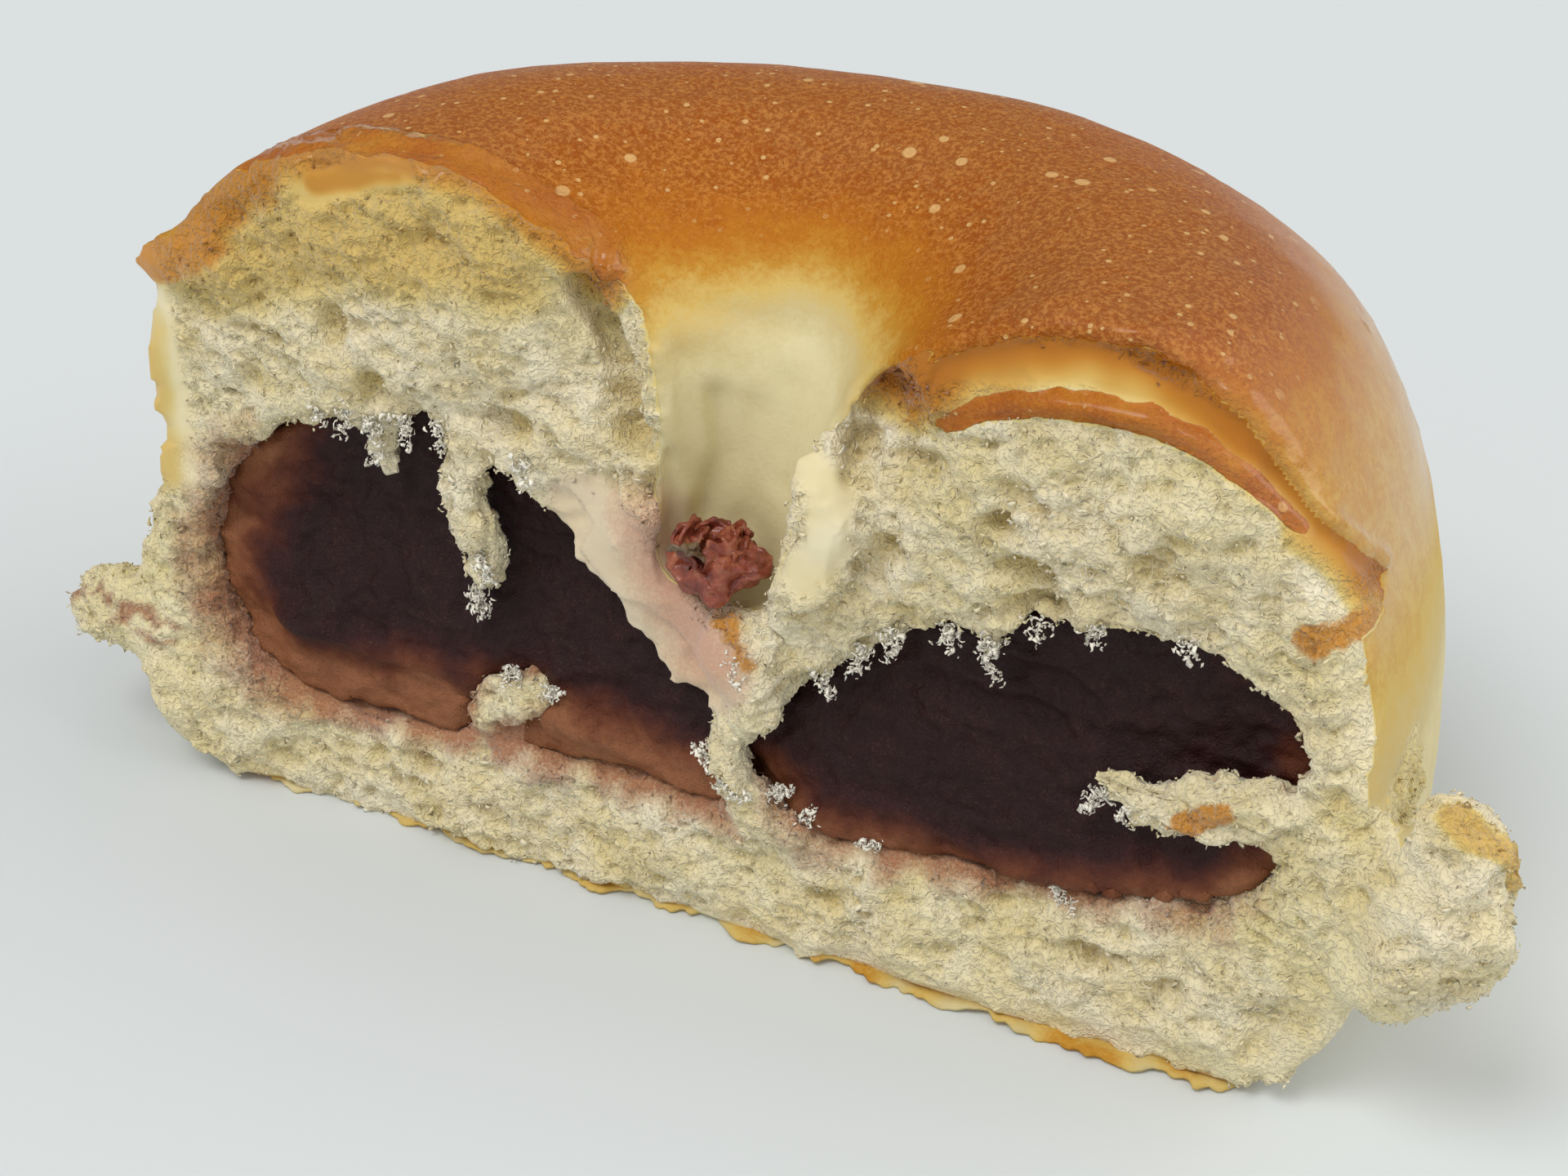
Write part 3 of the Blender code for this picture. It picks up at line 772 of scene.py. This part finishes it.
def crust_outline(verts):
    """How far the crust lies from OUTLINE_MIDDLE in each direction, just behind the tear."""
    reach = [0.0] * OUTLINE_STEPS
    for vert in verts:
        if OUTLINE_BEHIND[0] < vert.co.y < OUTLINE_BEHIND[1]:
            across, up = vert.co.x - OUTLINE_MIDDLE[0], vert.co.z - OUTLINE_MIDDLE[1]
            step = int(math.atan2(up, across) / math.tau * OUTLINE_STEPS) % OUTLINE_STEPS
            reach[step] = max(reach[step], math.hypot(across, up))
    return reach


def below_crust(spot, outline):
    """Distance on the face from a place to the crust's outline, positive inside."""
    across, up = spot.x - OUTLINE_MIDDLE[0], spot.z - OUTLINE_MIDDLE[1]
    turn = math.atan2(up, across) / math.tau * OUTLINE_STEPS - 0.5
    low = math.floor(turn)
    first, last = outline[low % OUTLINE_STEPS], outline[(low + 1) % OUTLINE_STEPS]
    return first * (low + 1 - turn) + last * (turn - low) - math.hypot(across, up)


def fold_edge(across, up, spot):
    """Distance past the edge of the skin that bends down over the tear."""
    away, share = line_distance(across, up, OVERHANG)
    return away - (0.4 + 1.35 * hump(share - 0.64, 0.25) + 0.35 * wave(spot, 1.3))


def sliver_edge(across, up, spot):
    """Distance past the edge of the strip of crust that stands on the crumb."""
    away, share = line_distance(across, up, SLIVER)
    return away - (0.45 + 0.45 * math.sin(math.pi * share) + 0.22 * wave(spot, 1.2))


def past_right_edge(spot, across, up):
    """How far a place lies past the crust's torn edge on the right half, as the camera sees it."""
    if not (RIGHT_EDGE[0][0] < across < RIGHT_EDGE[-1][0]) or spot.y > 9.0 or spot.z < 30.0:
        return None
    return up - along(across, RIGHT_EDGE) + 0.22 * wave(spot, 1.8) + 0.12 * wave(spot, 0.7)


def torn_share(spot, normal, outline):
    """1 where the bread was torn, 0 on its skin, with a narrow slope between them."""
    if spot.z < 0.7 and normal.z < -0.5:
        return 0.0
    inside = below_crust(spot, outline)
    facing = smooth_step(0.3, 0.6, -normal.y)
    if spot.y > TORN_BEHIND:
        torn = facing if inside > 1.0 and spot.y < TORN_BEHIND + 2.5 else 0.0
        ragged = FLAPS_TOP + 1.0 + 1.5 * wave(spot, 4.0)
        if spot.x > FLAPS_FROM and spot.y < 2 * TORN_BEHIND:
            torn = max(torn, 1 - smooth_step(ragged - 0.5, ragged + 0.5, spot.z))
    elif inside < -1.6:
        torn = 1.0
    elif abs(spot.x) > FLAPS_FROM and spot.z < FLAPS_TOP + 1.5 * wave(spot, 4.0):
        torn = 1.0
    else:
        torn = max(facing, smooth_step(0.5, 1.1, inside))
    across, up = on_tear(spot)
    past = past_right_edge(spot, across, up)
    if past is not None:
        torn = 1 - smooth_step(-0.12, 0.12, past)
    if spot.y < TORN_BEHIND:
        torn = min(torn, smooth_step(-0.25, 0.25, fold_edge(across, up, spot)))
        torn = min(torn, smooth_step(-0.25, 0.25, sliver_edge(across, up, spot)))
    if spot.z > NAVEL_FLOOR - 1:
        away, radius = navel_reach(spot)
        skin = (1 - smooth_step(0.3, 0.9, away - radius)) * smooth_step(0.1, 0.7, spot.y)
        torn = min(torn, 1 - skin)
    return torn


def baking(spot):
    """How brown the skin is, from 0 in the navel and at the foot to 1 on the crown."""
    away, _ = navel_reach(spot)
    navel = along(away + 0.7 * wave(spot, 5.0), NAVEL_BAKE)
    side = along(spot.z + 1.6 * wave(spot, 12.0, 5.0), SIDE_BAKE)
    bake = min(navel, side)
    if spot.y < TORN_BEHIND:
        across, up = on_tear(spot)
        strip = 1 - smooth_step(0.2, 0.6, sliver_edge(across, up, spot))
        bake += (0.64 + 0.25 * wave(spot, 2.0) - bake) * strip
        fold = 1 - smooth_step(0.2, 0.8, fold_edge(across, up, spot))
        bake += (0.56 + 0.22 * wave(spot, 2.6) - bake) * fold
    return bake


def crumb_relief(spot, across, up):
    """How far the crumb is moved along its normal, and how deep it lies in its cells, which is painted
    as shade.
    """
    bent = Vector(spot) + CRUMB_WARP * noise.noise_vector(spot / CRUMB_WARP_SIZE)
    bent = Vector((bent.x * CRUMB_STRETCH[0], bent.y * CRUMB_STRETCH[1], bent.z * CRUMB_STRETCH[2]))
    depth, pore = 0.0, 0.0
    for size, deep, rarity in CRUMB_CELLS:
        distances, points = noise.voronoi(bent / size)
        own = 0.5 + 0.5 * math.sin(points[0].dot(Vector((37.1, 71.7, 53.3))))
        open_share = smooth_step(0.03, 0.42, distances[1] - distances[0]) * own**rarity
        depth += deep * open_share
        pore += open_share * deep
    for x, z, wide, high, deep in HOLLOWS:
        share = math.exp(-(((across - x) / wide) ** 2 + ((up - z) / high) ** 2) ** 2)
        depth += deep * share
        pore += 0.7 * deep * share
    tufts = sum(height * (1 - 2 * abs(wave(spot, size, 31.0))) for size, height in TUFTS)
    return tufts - depth, min(1.0, pore)


def dense_share(across, up):
    """1 in smooth, dense dough, 0 in the open crumb."""
    return max(
        1 - smooth_step(0.7 * wide, 1.3 * wide, line_distance(across, up, line)[0])
        for line, wide in DENSE
    )


def under_crust_share(spot, across, up):
    """How much the crumb is tinted by the crust it was torn from."""
    shift = 0.8 * wave(spot, 2.6)
    return max(
        most * (1 - smooth_step(0.2 * wide, wide, line_distance(across, up, line)[0] + shift))
        for line, wide, most in AMBER
    )


def browned_share(spot, across, up):
    """1 on the spots of crust that stick to the crumb."""
    ragged = 0.7 * wave(spot, 1.6) + 0.3 * wave(spot, 0.7)
    return max(
        1 - smooth_step(0.5 * wide, wide, line_distance(across, up, (start, end))[0] + ragged)
        for start, end, wide in BROWN_SPOTS
    )


def stain_share(spot, across, up, away):
    """How much the filling, so many millimetres away, has soaked the crumb."""
    low = 1 - smooth_step(9.0, 15.0, spot.z + 2 * wave(spot, 5.0))
    left = 1 - smooth_step(-31.5, -28.0, spot.x)
    some = smooth_step(0.25, 0.5, wave(spot, 2.2, 8.0))
    stained = 1 - smooth_step(0.3, 2.6 + 1.8 * left, away + 1.1 * wave(spot, 1.8))
    near = min(line_distance(across, up, line)[0] for line in STAINS) + 0.9 * wave(spot, 1.3)
    flecks = 0.9 * (1 - smooth_step(0.6, 1.8, near)) * smooth_step(-0.3, 0.3, wave(spot, 1.1, 2.0))
    return max(stained * max(low, left, some), flecks)


def yellow_share(spot, across, up, outer):
    """How yellow the crumb is: in wide patches, on the right, and on the left's outer side, where it is
    painted light for light shining through the crumb.
    """
    right = smooth_step(24.0, 34.0, spot.x) * (1 - smooth_step(22.0, 32.0, spot.z))
    right *= 0.35 * (0.6 + 0.6 * wave(spot, 5.0, 3.0)) * (1 - smooth_step(36.0, 42.0, spot.x))
    flap = 1 - smooth_step(0.8, 1.8, line_distance(across, up, NAVEL_FLAP)[0])
    patch = 0.25 * smooth_step(-0.15, 0.4, wave(spot, 8.0, 7.0))
    # On the outer left side the yellow is painted light, for light shining through the crumb
    return patch + right + 0.2 * flap + 0.3 * outer


def skin_looks(spot, across, up, torn):
    """The skin's masks at a place, and how far its surface stands out there."""
    crown = smooth_step(12.0, 34.0, spot.x) * smooth_step(25.0, 33.0, spot.z)
    blush = line_distance(across, up, PINK)[0] + 0.7 * wave(spot, 2.0)
    looks = {
        "torn": torn,
        "bake": baking(spot),
        "sheen": crown * (1 - torn),
        "blush": 1 - smooth_step(0.2, 4.3, blush) if spot.y < 6 else 0.0,
    }
    move = 0.03 * wave(spot, 1.2) + 0.10 * wave(spot, 5.0)
    if spot.y < TORN_BEHIND:
        fold = line_distance(across, up, FOLD)[0]
        skin = line_distance(across, up, OVERHANG)[0]
        sliver, share = line_distance(across, up, SLIVER)
        wet = 0.6 - 0.6 * smooth_step(0.5, 1.2, sliver)
        looks["gloss"] = max(1 - smooth_step(0.8, 2.4, skin), wet)
        wrinkles = wave((across * 2.2, up, spot.y), 1.1)
        move += 0.22 * hump(fold, 0.35) - 0.15 * hump(fold - 0.8, 0.5)
        move += 0.14 * (1 - smooth_step(1.2, 2.6, skin)) * wrinkles
        move += 0.9 * math.sin(math.pi * share) * (1 - smooth_step(0.1, 1.15, sliver))
    past = past_right_edge(spot, across, up)
    if past is not None:
        move += 0.35 * hump(past - 0.5, 0.5) - 0.45 * hump(past + 0.6, 0.5)
    for line, wide, deep in CREASES:
        move -= deep * hump(line_distance(across, up, line)[0], wide) * (spot.y < 9)
    return looks, move


def crumb_looks(spot, across, up, torn, inside, paste, move):
    """The torn crumb's masks at a place, and how far its surface stands out there in all."""
    away = paste.find_nearest(spot)[3]
    relief, pore = crumb_relief(spot, across, up)
    soaked = 1 - smooth_step(0.5, 2.0, away)
    dense = max(dense_share(across, up), 0.7 * soaked * (1 - smooth_step(7.0, 11.0, spot.z)))
    calm = smooth_step(-0.2, 2.6, inside) if inside > -1 else 1.0
    open_share = (1 - 0.9 * dense) * (0.2 + 0.8 * calm)
    move = move * (1 - 0.5 * torn) + relief * torn * open_share
    # The grooves sink the crumb and carry painted shade in them
    for line, wide, deep in GROOVES:
        share = math.exp(-((line_distance(across, up, line)[0] / wide) ** 4))
        move -= deep * share * torn
        pore = min(1.0, pore + 0.4 * deep * share)
    if spot.y < 2.0 and paste.ray_cast(spot, -SIGHT_BACK, 4.0)[0]:
        move += STRAND_SLIM + 0.3 * wave(spot, 0.9, 4.0)
        pore *= 0.4
    outer = 1 - smooth_step(-37.0, -32.0, spot.x)
    # The painted shade is weaker in dense dough, near the crust's edge, on the flaps past it and on the
    # outer left side
    shallow = (1 - 0.8 * dense) * (0.3 + 0.7 * calm) * (0.5 if inside < -1.6 else 1.0)
    looks = {
        "pore": pore * shallow * (1 - 0.7 * outer),
        "dense": dense,
        "dough": 1 - smooth_step(2.2, 3.4, line_distance(across, up, NAVEL_LIP)[0]),
        "under_crust": under_crust_share(spot, across, up),
        "browned": browned_share(spot, across, up),
        "stain": stain_share(spot, across, up, away),
        "yellow": yellow_share(spot, across, up, outer),
        "fluff": torn * (1 - dense) * smooth_step(0.8, 3.4, inside if inside > -1 else 4.0),
    }
    return looks, move


def refine_front(builder, paste, outline):
    """Small faces near the tear and in the navel, and the smallest on the open crumb."""

    def hidden(face):
        middle = face.calc_center_median()
        return middle.y > 2.2 and paste.find_nearest(middle)[3] < 1.2

    def front(face):
        middle = face.calc_center_median()
        away, radius = navel_reach(middle)
        in_navel = middle.z > NAVEL_FLOOR - 2 and away < radius + 2 and middle.y < 12
        return (middle.y < TORN_BEHIND + 4.0 or in_navel) and not hidden(face)

    def open_crumb(face):
        middle = face.calc_center_median()
        if middle.y > TORN_BEHIND + 4.0 or hidden(face) or face.normal.dot(SIGHT_BACK) < -0.05:
            return False
        across, up = on_tear(middle)
        close = min(fold_edge(across, up, middle), sliver_edge(across, up, middle))
        return close < 0.6 or torn_share(middle, face.normal, outline) > 0.02

    refined(builder, front, 1)
    refined(builder, open_crumb, 1)


def make_bread(crust, crumb):
    """The whole bread: crust and torn crumb in one skin. Returns a mesh with its crumb faces."""
    paste = node_tree("bean_paste")
    builder = remeshed(node_copy("bread"), BREAD_VOXEL)
    outline = crust_outline(builder.verts)
    refine_front(builder, paste, outline)
    layers = {name: builder.verts.layers.float.new(name) for name in BREAD_MASKS}
    builder.normal_update()
    moves = []
    for vert in builder.verts:
        spot = vert.co.copy()
        across, up = on_tear(spot)
        torn = torn_share(spot, vert.normal, outline)
        looks, move = skin_looks(spot, across, up, torn)
        if torn > 0:
            inside = below_crust(spot, outline)
            more, move = crumb_looks(spot, across, up, torn, inside, paste, move)
            looks |= more
        for name, value in looks.items():
            vert[layers[name]] = value
        moves.append((vert, vert.normal * move))
    for vert, step in moves:
        vert.co += step
        vert.co.z = max(vert.co.z, 0.0)
    for face in builder.faces:
        face.material_index = int(face.verts[0][layers["torn"]] > 0.5)
    crumb_faces = bpy.data.meshes.new("crumb_faces")
    builder.to_mesh(crumb_faces)
    new_piece("bread_crust_and_crumb", builder, (crust, crumb), "bread", "bread")
    return crumb_faces


def add_base_skin(crust):
    """The tan skin of the base, torn off ragged just in front of the crumb."""
    bread = node_tree("bread")
    builder = bmesh.new()
    bmesh.ops.create_grid(builder, x_segments=BASE_SKIN_STEPS, y_segments=5, size=0.5)
    names = ("bake", "torn", "gloss")
    layers = {name: builder.verts.layers.float.new(name) for name in names}
    for vert in builder.verts:
        x = BASE_SKIN[0] + (vert.co.x + 0.5) * (BASE_SKIN[1] - BASE_SKIN[0])
        back = vert.co.y + 0.5
        lip = bread.ray_cast(Vector((x, -12, 0.9)), Vector((0, 1, 0)))[0]
        edge = lip.y if lip else 0.0
        ragged = 1.1 * wave((x, 0, 0), 2.6) + 0.45 * wave((x, 5, 0), 0.7)
        out = max(-1.6, along(x, BASE_SKIN_OUT) - 0.35 + ragged)
        y = edge - out + back * (out + 2.2)
        z = 0.22 + 0.30 * (1 - back) * (0.5 + wave((x, y, 0), 1.8)) + 0.2 * back
        vert.co = Vector((x, y, max(0.22, z)))
        vert[layers["bake"]] = 0.2 + 0.22 * wave((x, y, 0), 2.4)
    thicken(builder, SHEET_THICKNESS)
    for vert in builder.verts:
        vert.co.z = max(vert.co.z, 0.0)
    new_piece("base_skin", builder, (crust,), "bread", "bread")


# ---------------------------------------------------------------- rags of torn cell wall


def rag_patterns():
    """Short closed walls bent part way round a cell, with a thin ragged edge on top."""
    kinds = bpy.data.collections.new("rag_kinds")
    draw = random.Random(11)
    stand = Matrix.Translation((1, 0, 0)) @ Matrix.Rotation(math.pi / 2, 4, "X")
    for index in range(RAG_KINDS):
        builder = bmesh.new()
        bmesh.ops.create_circle(builder, cap_ends=True, segments=3, radius=RAG_THICKNESS, matrix=stand)
        bmesh.ops.spin(
            builder, geom=builder.verts[:] + builder.edges[:] + builder.faces[:], cent=(0, 0, 0),
            axis=(0, 0, 1), angle=draw.uniform(*RAG_TURN), steps=RAG_STEPS,
        )
        bmesh.ops.recalc_face_normals(builder, faces=builder.faces)
        tall = draw.uniform(*RAG_TALL)
        tip = builder.verts.layers.float.new("tip")
        for vert in builder.verts:
            if vert.co.z > 0:
                out = draw.uniform(0.9, 1.45)
                vert.co = Vector((vert.co.x * out, vert.co.y * out, tall * draw.uniform(0.2, 1.0)))
                vert[tip] = 1.0
            else:
                vert.co.z = -0.25 * tall
        mesh = bpy.data.meshes.new(f"rag_{index}")
        builder.to_mesh(mesh)
        builder.free()
        mesh.shade_smooth()
        kinds.objects.link(bpy.data.objects.new(f"rag_{index}", mesh))
    return kinds


def scatter_nodes(kinds, apart, sizes):
    """Geometry nodes that stand one of the kinds on each of many points of a surface."""
    shape = "NodeSocketGeometry"
    tree, begin, end = new_group("stand_rags", "GeometryNodeTree", {"Crumb": shape}, {"Rags": shape})
    fluff = new_node(tree, "GeometryNodeInputNamedAttribute", {"Name": "fluff"})
    values = {
        "Mesh": begin.outputs[0],
        "Distance Min": apart,
        "Density Max": 2.0 / apart**2,
        "Density Factor": fluff.outputs["Attribute"],
        "Seed": 3,
    }
    kind = "GeometryNodeDistributePointsOnFaces"
    points = new_node(tree, kind, values, distribute_method="POISSON")
    values = {"Collection": kinds, "Separate Children": True, "Reset Children": True}
    pick = new_node(tree, "GeometryNodeCollectionInfo", values)
    values = {0: (-0.7, -0.7, 0.0), 1: (0.7, 0.7, math.tau)}
    tilt = new_node(tree, "FunctionNodeRandomValue", values, data_type="FLOAT_VECTOR")
    values = {0: points.outputs["Rotation"], 1: tilt.outputs[0]}
    turn = new_node(tree, "FunctionNodeRotateRotation", values, rotation_space="LOCAL")
    values = {2: sizes[0], 3: sizes[1]}
    size = new_node(tree, "FunctionNodeRandomValue", values, data_type="FLOAT")
    values = {
        "Points": points.outputs["Points"],
        "Instance": pick.outputs[0],
        "Pick Instance": True,
        "Rotation": turn.outputs[0],
        "Scale": size.outputs[1],
    }
    stand = new_node(tree, "GeometryNodeInstanceOnPoints", values)
    real = new_node(tree, "GeometryNodeRealizeInstances", {0: stand.outputs[0]})
    tree.links.new(real.outputs[0], end.inputs[0])
    return tree


def add_rags(crumb_faces, kinds, walls):
    """Torn cell walls all over the crumb."""
    nodes = scatter_nodes(kinds, RAG_APART, RAG_SIZES)
    builder = bmesh.new()
    builder.from_mesh(crumb_faces)
    skin = [face for face in builder.faces if face.material_index == 0]
    bmesh.ops.delete(builder, geom=skin, context="FACES")
    rags = modified(builder, "NODES", node_group=nodes)
    for vert in rags.verts:
        vert.co += 0.12 * noise.noise_vector(vert.co / 0.6)
        vert.co.z = max(vert.co.z, 0.02)
    new_piece("crumb_rags", rags, (walls,), "bread")
    bpy.data.node_groups.remove(nodes)


def add_hanging(kinds, walls):
    """Tufts of torn crumb on the rims of the filling, each a drooping clump of rags."""
    bread, fronts = node_tree("bread"), node_tree("bean_paste")
    builder = bmesh.new()
    draw = random.Random(23)
    for x, z, length, count, lean in HANGING:
        root = bread.find_nearest(Vector((x, -1.0, z)))[0]
        for _ in range(count * HANGING_COUNT):
            share = draw.random() ** 1.5
            bent = noise.noise_vector((root + Vector((0, 0, share * length))) / 0.9)
            turn = lean + 0.6 * bent.z
            spot = root + share * length * Vector((math.sin(turn), -0.1, -math.cos(turn)))
            loose = HANGING_WIDTH * (1 - 0.6 * share)
            spot += Vector([draw.gauss(0, loose * part) for part in (1.0, 0.4, 0.6)])
            face = fronts.ray_cast(Vector((spot.x, -12, spot.z)), Vector((0, 1, 0)))[0]
            if face:
                spot.y = min(spot.y, face.y - 0.7)
            spot.z = max(spot.z, 0.6)
            known = len(builder.verts)
            builder.from_mesh(draw.choice(kinds.objects[:]).data)
            builder.verts.ensure_lookup_table()
            axis = Vector([draw.gauss(0, 1) for _ in range(3)])
            turned = Matrix.Rotation(draw.uniform(0, math.tau), 4, axis)
            size = Matrix.Diagonal((draw.uniform(*HANGING_SIZES),) * 3).to_4x4()
            place = Matrix.Translation(spot) @ turned @ size
            bmesh.ops.transform(builder, matrix=place, verts=builder.verts[known:])
    for vert in builder.verts:
        vert.co += 0.1 * noise.noise_vector(vert.co / 0.4)
    new_piece("hanging_crumb", builder, (walls,), "bread")


# ---------------------------------------------------------------- filling and blossom


def make_paste(material):
    """The filling's torn face: smeared, with low rolls and a fine grain."""
    bread = node_tree("bread")
    builder = remeshed(node_copy("bean_paste"), PASTE_VOXEL)
    front = builder.faces.layers.int.new("front")
    for face in builder.faces:
        face[front] = face.normal.y < -0.5 and face.calc_center_median().y < 5
    refined(builder, lambda face: face[front], 2)
    edge = builder.verts.layers.float.new("edge")
    builder.normal_update()
    moves = []
    for vert in builder.verts:
        spot = vert.co.copy()
        share = sum(face[front] for face in vert.link_faces) / len(vert.link_faces)
        away = bread.find_nearest(spot)[3]
        across, up = on_tear(spot)
        outer = smooth_step(24.0, 32.0, abs(spot.x)) * (0.6 if spot.x > 0 else 1.0)
        reach = 2.6 + 5.0 * (1 - smooth_step(-31.0, -24.0, spot.x))
        away += 1.5 * wave(spot, 3.0) + 0.8 * wave(spot, 1.1)
        rim = (1 - smooth_step(0.2, reach, away)) * outer
        drop = along(across, BROWN_BELOW) - up + 1.1 * wave(spot, 3.4, 6.0) + 0.5 * wave(spot, 1.2)
        vert[edge] = max(rim, smooth_step(-3.6, 2.6, drop))
        streak = Vector((spot.x * 0.45, spot.y, spot.z))
        roll = 0.5 * wave(spot, 6.0) + 0.36 * (1 - 2 * abs(wave(streak, 2.6, 3.0)))
        roll += 0.26 * wave(spot, 1.2) + 0.14 * wave(spot, 0.55)
        roll += 0.9 * hump(spot.x - KNOB[0], 2.2) * hump(spot.z - KNOB[1], 1.8)
        roll += 0.6 * hump(line_distance(across, up, RIDGE)[0], 0.9)
        moves.append((vert, vert.normal * (PASTE_FULLER + roll * share)))
    for vert, step in moves:
        vert.co += step
    new_piece("paste", builder, (material,), "bean_paste", "bean_paste")


def crumpled_sheet(builder, size, steps, draw, folds):
    """A small thin sheet, folded and bent at random, standing at the origin."""
    sheet = bmesh.new()
    bmesh.ops.create_grid(sheet, x_segments=steps, y_segments=steps, size=0.5)
    shift = draw.uniform(0, 90)
    for vert in sheet.verts:
        across, up = vert.co.x, vert.co.y + 0.5
        wide = 0.35 + 0.65 * math.sin(math.pi * min(1.0, up * 0.75 + 0.12))
        spot = Vector((across * wide * size[0], 0, up * size[1]))
        bent = noise.noise_vector((spot + Vector((shift, 0, shift))) / folds[0])
        fine = noise.noise_vector((spot + Vector((0, shift, 0))) / folds[1])
        vert.co = spot + bent * folds[0] * 0.5 * min(1.0, 2 * up) + fine * folds[1] * 0.5
    thicken(sheet, SHEET_THICKNESS)
    mesh = bpy.data.meshes.new("sheet")
    sheet.to_mesh(mesh)
    sheet.free()
    known = len(builder.verts)
    builder.from_mesh(mesh)
    bpy.data.meshes.remove(mesh)
    builder.verts.ensure_lookup_table()
    return builder.verts[known:]


def make_blossom(material, sepal_material):
    """A mound of crushed petals with thin ones standing round it, and the dry sepal."""
    builder = node_copy("pickled_blossom")
    bmesh.ops.subdivide_edges(builder, edges=builder.edges, cuts=5, use_grid_fill=True)
    builder.normal_update()
    for vert in builder.verts:
        vert.co += vert.normal * (0.5 * wave(vert.co, 1.6) + 0.2 * wave(vert.co, 0.6, 9.0) - 0.3)
    draw = random.Random(5)
    for index in range(PETALS):
        verts = crumpled_sheet(builder, PETAL_SIZE, 9, draw, (1.1, 0.45))
        angle = math.tau * index / PETALS + draw.uniform(-0.3, 0.3)
        out = draw.uniform(0.6, 1.5)
        lean = Matrix.Rotation(draw.uniform(-0.9, 0.3), 4, "X")
        around = Matrix.Rotation(angle, 4, "Z")
        away = Vector((-math.sin(angle), math.cos(angle), 0))
        place = Matrix.Translation(Vector(BLOSSOM) + out * away)
        bmesh.ops.transform(builder, matrix=place @ around @ lean, verts=verts)
    new_piece("blossom_petals", builder, (material,), "blossom", "pickled_blossom")
    builder = bmesh.new()
    for turn in (-0.5, 0.4):
        verts = crumpled_sheet(builder, SEPAL_SIZE, 6, draw, (0.9, 0.4))
        turned = Matrix.Rotation(turn, 4, "Y") @ Matrix.Rotation(0.9, 4, "X")
        bmesh.ops.transform(builder, matrix=Matrix.Translation(SEPAL) @ turned, verts=verts)
    new_piece("blossom_sepal", builder, (sepal_material,), "blossom", "pickled_blossom")


# ---------------------------------------------------------------- room


def add_sun(name, azimuth, elevation, strength, softness, colour):
    """Soft light from far away: azimuth is measured from the torn face's side to the right."""
    light = bpy.data.lights.new(name, "SUN")
    light.energy = strength
    light.angle = math.radians(softness)
    light.color = colour
    lamp = bpy.data.objects.new(name, light)
    turn, rise = math.radians(azimuth), math.radians(elevation)
    flat = math.cos(rise)
    towards = Vector((math.sin(turn) * flat, -math.cos(turn) * flat, math.sin(rise)))
    lamp.matrix_world = Matrix.LocRotScale(towards, towards.to_track_quat("Z", "Y"), None)
    bpy.context.scene.collection.objects.link(lamp)


def add_room():
    """A pale floor that runs to the horizon, and soft light."""
    builder = bmesh.new()
    bmesh.ops.create_grid(builder, x_segments=1, y_segments=1, size=3.0)
    floor = new_object("floor", builder)
    material, shader = new_material("floor", 0.5)
    shader.inputs["Specular IOR Level"].default_value = 0.3
    shader.inputs["Base Color"].default_value = FLOOR_TONE
    floor.data.materials.append(material)
    world = bpy.data.worlds.new("room")
    bpy.context.scene.world = world
    world.use_nodes = True
    sky = world.node_tree.nodes["Background"]
    sky.inputs["Color"].default_value = WORLD_COLOUR
    tree = world.node_tree
    ray = tree.nodes.new("ShaderNodeTexCoord")
    axes = new_node(tree, "ShaderNodeSeparateXYZ", {0: ray.outputs["Generated"]})
    behind = calc(tree, "MULTIPLY_ADD", axes.outputs["X"], -0.9, axes.outputs["Y"])
    behind = spread(tree, behind, 0.2, 1.0, WORLD_STRENGTH, WORLD_STRENGTH * WORLD_BACK)
    tree.links.new(behind, sky.inputs["Strength"])
    for sun in SUNS:
        add_sun(*sun)
    bpy.context.scene.view_settings.view_transform = "Standard"


def add_bun():
    noise.seed_set(NOISE_SEED)
    build_torn_line()
    build_crumb_tints()
    crust, walls = bread_material("crust", True), rag_material()
    crumb_faces = make_bread(crust, bread_material("crumb", False))
    kinds = rag_patterns()
    add_rags(crumb_faces, kinds, walls)
    add_hanging(kinds, walls)
    for kind in list(kinds.objects):
        bpy.data.objects.remove(kind)
    bpy.data.collections.remove(kinds)
    add_base_skin(crust)
    make_paste(paste_material())
    make_blossom(blossom_material("petal", PETAL_TONES), blossom_material("sepal", SEPAL_TONES))


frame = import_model()
add_camera()
add_bun()
add_room()
